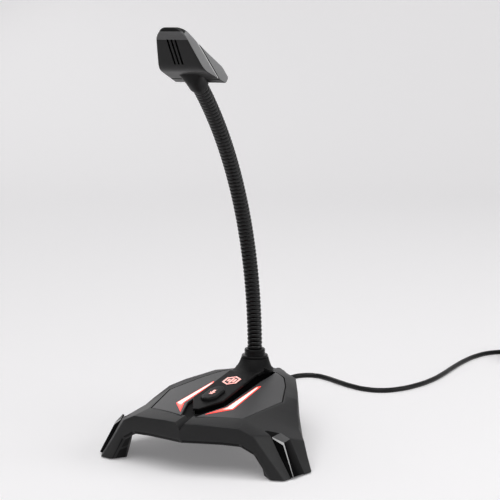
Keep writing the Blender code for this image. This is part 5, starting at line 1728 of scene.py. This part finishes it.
def make_neck(sizes):
    """Seven lengths of ribbed sleeve, each bending over the hinge in its middle."""
    tree = ribbed_tube_tree()
    pitch = NECK_SECTION / round(NECK_SECTION / (sizes.rib_pitch / MM))
    last = len(NECK_BODIES) - 1
    for number in range(1, last + 1):
        start = SLEEVE_START if number == 1 else NECK_FIRST_PIVOT + NECK_SECTION * (number - 1.5)
        end = NECK_END if number == last else NECK_FIRST_PIVOT + NECK_SECTION * (number - 0.5)
        tube = grown(
            tree,
            [(0.0, 0.0, 0.0)],
            length=(end - start) * MM,
            radius=sizes.neck_radius,
            depth=sizes.rib_depth,
            pitch=pitch * MM,
            phase=(start - RIBS_FROM) % pitch * MM,
            steps=14,
            sides=36,
            material=FINISHES["sleeve"],
        )
        sleeve = solid(f"neck_sleeve_{number}", sleeve_mesh(tube, start), "sleeve", smooth=60)
        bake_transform(sleeve)
        stands_for = ("neck_section_1", "neck_section_2") if number == 1 else (f"neck_section_{number + 1}",)
        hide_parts(*stands_for)


# ------------------------------------------------------------------ the head
def cheeks_apart(obj):
    """The flat cheeks get the head's second finish, a lighter grey that is partly a painted sheen, and the
    brow above the slots its third, a painted highlight.
    """
    back = head_matrix().inverted()
    for face in obj.data.polygons:
        x, v, u = back @ ((face.center - FOOT) / MM)
        # Faces turned sideways get the lighter cheek grey, partly a painted sheen of light from the right.
        if abs(face.normal.x) > CHEEK_FACING:
            face.material_index = 1
        elif BROW_ALONG[0] < u < BROW_ALONG[1] and v < BROW_ACROSS:
            face.material_index = 2


def boss_mesh():
    """The boss round the neck's end, which widens and fades into the head's underside near the nose."""
    steps = 48
    rings = []
    for u, half_width, forward in BOSS_RINGS:
        back = 1.0 if u > 12.0 else min(half_width, 7.2)
        ring = []
        for i in range(steps):
            angle = math.tau * i / steps
            reach = forward if math.sin(angle) < 0 else back
            ring.append((half_width * math.cos(angle), reach * math.sin(angle), u))
        rings.append(ring)
    bm = lofted(rings)
    bmesh.ops.transform(bm, matrix=head_matrix(), verts=bm.verts)
    return bm


def paint_parting_highlight(obj):
    """A narrow band of painted highlight on the cheeks, along the parting line."""
    low, along = parting_line()
    place = head_matrix(low.x, low.y)
    away = (place.to_3x3() @ Vector((0.0, along.x, -along.y))).normalized()
    start = FOOT + MM * (place.translation - away * (HEAD_GROOVE / 2 + PARTING_HIGHLIGHT_WIDTH))
    bm = bmesh.new()
    bm.from_mesh(obj.data)
    everything = bm.verts[:] + bm.edges[:] + bm.faces[:]
    bmesh.ops.bisect_plane(bm, geom=everything, plane_co=start, plane_no=away)
    for face in bm.faces:
        ahead = (face.calc_center_median() - start).dot(away)
        if abs(face.normal.x) > CHEEK_FACING and ahead > 0.0:
            face.material_index = 3
    bm.to_mesh(obj.data)
    bm.free()


def head_half(name, side, edge):
    """A hollow shell of the head, open along the parting plane; side says which half is cut away."""
    outline = closer(fillet([(u, v, r) for (u, v), r in zip(HEAD_PROFILE, HEAD_ROUNDING)], 3.0, 5), 1.2)
    half = solid(name, paddle(outline, 0.0, edge), "head", "cheek", "brow", "parting", smooth=0)
    cheeks_apart(half)
    cut(half, "beyond_split", split_side(side), solver="MANIFOLD")
    hollow = fillet(grow(HEAD_PROFILE, -HEAD_WALL), 0.6)
    cut(half, "head_hollow", paddle(hollow, HEAD_WALL, 0.6), solver="MANIFOLD")
    return half


def bore_for_neck(obj, radius, lead_end):
    """The hole that the neck's end sits in, and the narrow one that the lead goes on through."""
    low = HEAD_START - 3.0
    profile = [(0.0, low)] + [(radius, low + 2.0 * i) for i in range(7)] + [(0.0, low + 12.0)]
    cut(obj, "neck_bore", onto_neck(turned(profile, 40)), solver="MANIFOLD")
    cut(obj, "lead_bore", onto_neck(turned(rod(2.0, 212.0, HEAD_START + lead_end), 20)), solver="MANIFOLD")


def sound_slot(x):
    """A cutter for one upright slot through the nose face."""
    low, high = SLOTS_UP_THE_NOSE
    outline = fillet(rectangle(x - SLOT_HALF_WIDTH, low, x + SLOT_HALF_WIDTH, high), 0.59, 4)
    bm = lofted([[(px, py, depth) for px, py in outline] for depth in (-2.0, HEAD_WALL + 1.0)])
    bmesh.ops.transform(bm, matrix=nose_matrix(), verts=bm.verts)
    return bm


def make_head(sizes):
    """The head's front and rear shells, and the boss under it."""
    edge = sizes.cheek_rounding / MM
    front = head_half("head_front", 1, edge)
    for number in (-1, 0, 1):
        cut(front, "sound_slot", sound_slot(number * SLOT_PITCH + SLOTS_MIDDLE), solver="MANIFOLD")
    settle(front, even_shading=False)
    paint_parting_highlight(front)
    shade(front.data, 28.0)
    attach(front, "head")
    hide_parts("head_front_shell")

    rear = head_half("head_rear", -1, edge)
    bore_for_neck(rear, 5.2, 19.0)
    settle(rear, even_shading=False)
    shade(rear.data, 28.0)
    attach(rear, "head")
    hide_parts("head_rear_shell")

    boss = solid("neck_boss", boss_mesh(), "boss", smooth=0)
    bore_for_neck(boss, 5.0, 28.0)
    settle(boss, even_shading=False)
    shade(boss.data, 40.0)
    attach(boss, "head")


# ------------------------------------------------------------------ the add-on
class MicLook(bpy.types.PropertyGroup):
    """Colours and light."""

    shell: FloatVectorProperty(
        name="Shell", description="Colour of the base's shell",
        subtype="COLOR", default=(0.018, 0.018, 0.0185), min=0.0, max=1.0,
    )
    panel: FloatVectorProperty(
        name="Panels", description="Colour of the deck panels",
        subtype="COLOR", default=(0.05, 0.05, 0.0513), min=0.0, max=1.0,
    )
    cover: FloatVectorProperty(
        name="Console", description="Colour of the console's lid and boss",
        subtype="COLOR", default=(0.007, 0.007, 0.0072), min=0.0, max=1.0,
    )
    light_edge: FloatVectorProperty(
        name="Light edge", description="Colour at the rim of a light",
        subtype="COLOR", default=(1.0, 0.04, 0.028), min=0.0, max=1.0,
    )
    light_core: FloatVectorProperty(
        name="Light core", description="Colour in the middle of a light",
        subtype="COLOR", default=(1.0, 0.86, 0.82), min=0.0, max=1.0,
    )
    light_edge_width: FloatProperty(
        name="Light edge width", description="How far a light's coloured edge reaches in",
        subtype="DISTANCE", unit="LENGTH", default=0.001, min=0.0001,
    )
    backdrop: FloatVectorProperty(
        name="Backdrop", description="Colour of the floor and backdrop",
        subtype="COLOR", default=(0.8, 0.79, 0.8), min=0.0, max=1.0,
    )
    floor_bounce: FloatProperty(
        name="Floor bounce", description="Share of the floor's colour that it throws back on to the object",
        subtype="FACTOR", default=0.5, min=0.0, max=1.0,
    )
    floor_glow: FloatProperty(
        name="Floor glow", description="Light of the floor's own, which keeps its shadows pale",
        default=0.2, min=0.0,
    )
    backdrop_glow: FloatProperty(
        name="Backdrop glow", description="Light of the backdrop's own",
        default=0.47, min=0.0,
    )
    room_light: FloatProperty(
        name="Room light", description="Strength of the even light from all round",
        default=0.22, min=0.0,
    )
    lamp_light: FloatProperty(
        name="Lamps", description="Strength of the soft lamps",
        default=1.0, min=0.0,
    )


class MicSizes(bpy.types.PropertyGroup):
    """Sizes that a user may change without packing the frame again."""

    cable_length: FloatProperty(
        name="Cable length", description="Length of the USB cable",
        subtype="DISTANCE", unit="LENGTH", default=CABLE_LENGTH, min=0.1,
    )
    cable_diameter: FloatProperty(
        name="Cable diameter", description="Thickness of the USB cable",
        subtype="DISTANCE", unit="LENGTH", default=2 * CABLE_RADIUS * MM, min=0.001,
    )
    crease_radius: FloatProperty(
        name="Crease width", description="Width of the rounding along the shell's creases",
        subtype="DISTANCE", unit="LENGTH", default=0.0009, min=0.0001,
    )
    neck_radius: FloatProperty(
        name="Neck radius", description="Radius of the ribbed sleeve",
        subtype="DISTANCE", unit="LENGTH", default=0.0049, min=0.001,
    )
    rib_pitch: FloatProperty(
        name="Rib pitch", description="Distance from rib to rib",
        subtype="DISTANCE", unit="LENGTH", default=0.00278, min=0.001,
    )
    rib_depth: FloatProperty(
        name="Rib depth", description="Depth of the grooves between ribs",
        subtype="DISTANCE", unit="LENGTH", default=0.0007, min=0.0,
    )
    cheek_rounding: FloatProperty(
        name="Cheek rounding", description="Rounding of the edges round the head's cheeks",
        subtype="DISTANCE", unit="LENGTH", default=0.0008, min=0.0001,
    )


class MIC_OT_stage(bpy.types.Operator):
    """Sets the camera, the pale floor and backdrop, and the soft light"""

    bl_idname = "mic.stage"
    bl_label = "Stage"

    def execute(self, context):
        make_finishes(context.scene.mic_look)
        make_stage(context.scene.mic_look)
        return {"FINISHED"}


class MIC_OT_cable(bpy.types.Operator):
    """Lays the USB cable with its coil, tie, plug and strain relief"""

    bl_idname = "mic.cable"
    bl_label = "Cable"

    def execute(self, context):
        make_cable(context.scene.mic_sizes)
        return {"FINISHED"}


class MIC_OT_shell(bpy.types.Operator):
    """Builds the faceted shell of the base with its pockets and openings"""

    bl_idname = "mic.shell"
    bl_label = "Base shell"

    def execute(self, context):
        finish_shell(make_shell(context.scene.mic_sizes))
        return {"FINISHED"}


class MIC_OT_deck(bpy.types.Operator):
    """Lays the deck panels and their lit strips"""

    bl_idname = "mic.deck"
    bl_label = "Deck"

    def execute(self, context):
        make_panels()
        make_lights(context.scene.mic_look)
        return {"FINISHED"}


class MIC_OT_leg_inserts(bpy.types.Operator):
    """Sets the glossy inserts into the front legs"""

    bl_idname = "mic.leg_inserts"
    bl_label = "Leg inserts"

    def execute(self, context):
        make_leg_inserts()
        return {"FINISHED"}


class MIC_OT_console(bpy.types.Operator):
    """Builds the console's cover and its lit emblem"""

    bl_idname = "mic.console"
    bl_label = "Console"

    def execute(self, context):
        make_console()
        make_emblem()
        return {"FINISHED"}


class MIC_OT_mute_button(bpy.types.Operator):
    """Builds the mute button with its lit sign"""

    bl_idname = "mic.mute_button"
    bl_label = "Mute button"

    def execute(self, context):
        make_mute_button()
        return {"FINISHED"}


class MIC_OT_inside(bpy.types.Operator):
    """Finishes what is under and inside the base and the head, and drives the screws"""

    bl_idname = "mic.inside"
    bl_label = "Inside"

    def execute(self, context):
        make_inside()
        make_screws()
        return {"FINISHED"}


class MIC_OT_neck(bpy.types.Operator):
    """Builds the collar and the ribbed sleeve of the gooseneck"""

    bl_idname = "mic.neck"
    bl_label = "Neck"

    def execute(self, context):
        make_collar()
        make_neck(context.scene.mic_sizes)
        return {"FINISHED"}


class MIC_OT_head(bpy.types.Operator):
    """Builds the head's two shells with the boss and the sound slots"""

    bl_idname = "mic.head"
    bl_label = "Head"

    def execute(self, context):
        make_head(context.scene.mic_sizes)
        return {"FINISHED"}


OPERATORS = (
    MIC_OT_stage,
    MIC_OT_cable,
    MIC_OT_shell,
    MIC_OT_deck,
    MIC_OT_leg_inserts,
    MIC_OT_console,
    MIC_OT_mute_button,
    MIC_OT_inside,
    MIC_OT_neck,
    MIC_OT_head,
)


class MIC_PT_sidebar(bpy.types.Panel):
    """Lists the pieces, and the sizes and colours that they use."""

    bl_idname = "MIC_PT_sidebar"
    bl_label = "Gooseneck Microphone"
    bl_space_type = "VIEW_3D"
    bl_region_type = "UI"
    bl_category = "Microphone"

    def draw(self, context):
        for settings in (context.scene.mic_look, context.scene.mic_sizes):
            box = self.layout.box()
            for name in settings.__annotations__:
                box.prop(settings, name)
        for step in OPERATORS:
            self.layout.operator(step.bl_idname)


CLASSES = (MicLook, MicSizes, *OPERATORS, MIC_PT_sidebar)


def register():
    for item in CLASSES:
        bpy.utils.register_class(item)
    bpy.types.Scene.mic_look = PointerProperty(type=MicLook)
    bpy.types.Scene.mic_sizes = PointerProperty(type=MicSizes)


def unregister():
    del bpy.types.Scene.mic_sizes
    del bpy.types.Scene.mic_look
    for item in reversed(CLASSES):
        bpy.utils.unregister_class(item)


def main():
    register()
    for step in OPERATORS:
        group, name = step.bl_idname.split(".")
        getattr(getattr(bpy.ops, group), name)()


if __name__ == "__main__":
    main()
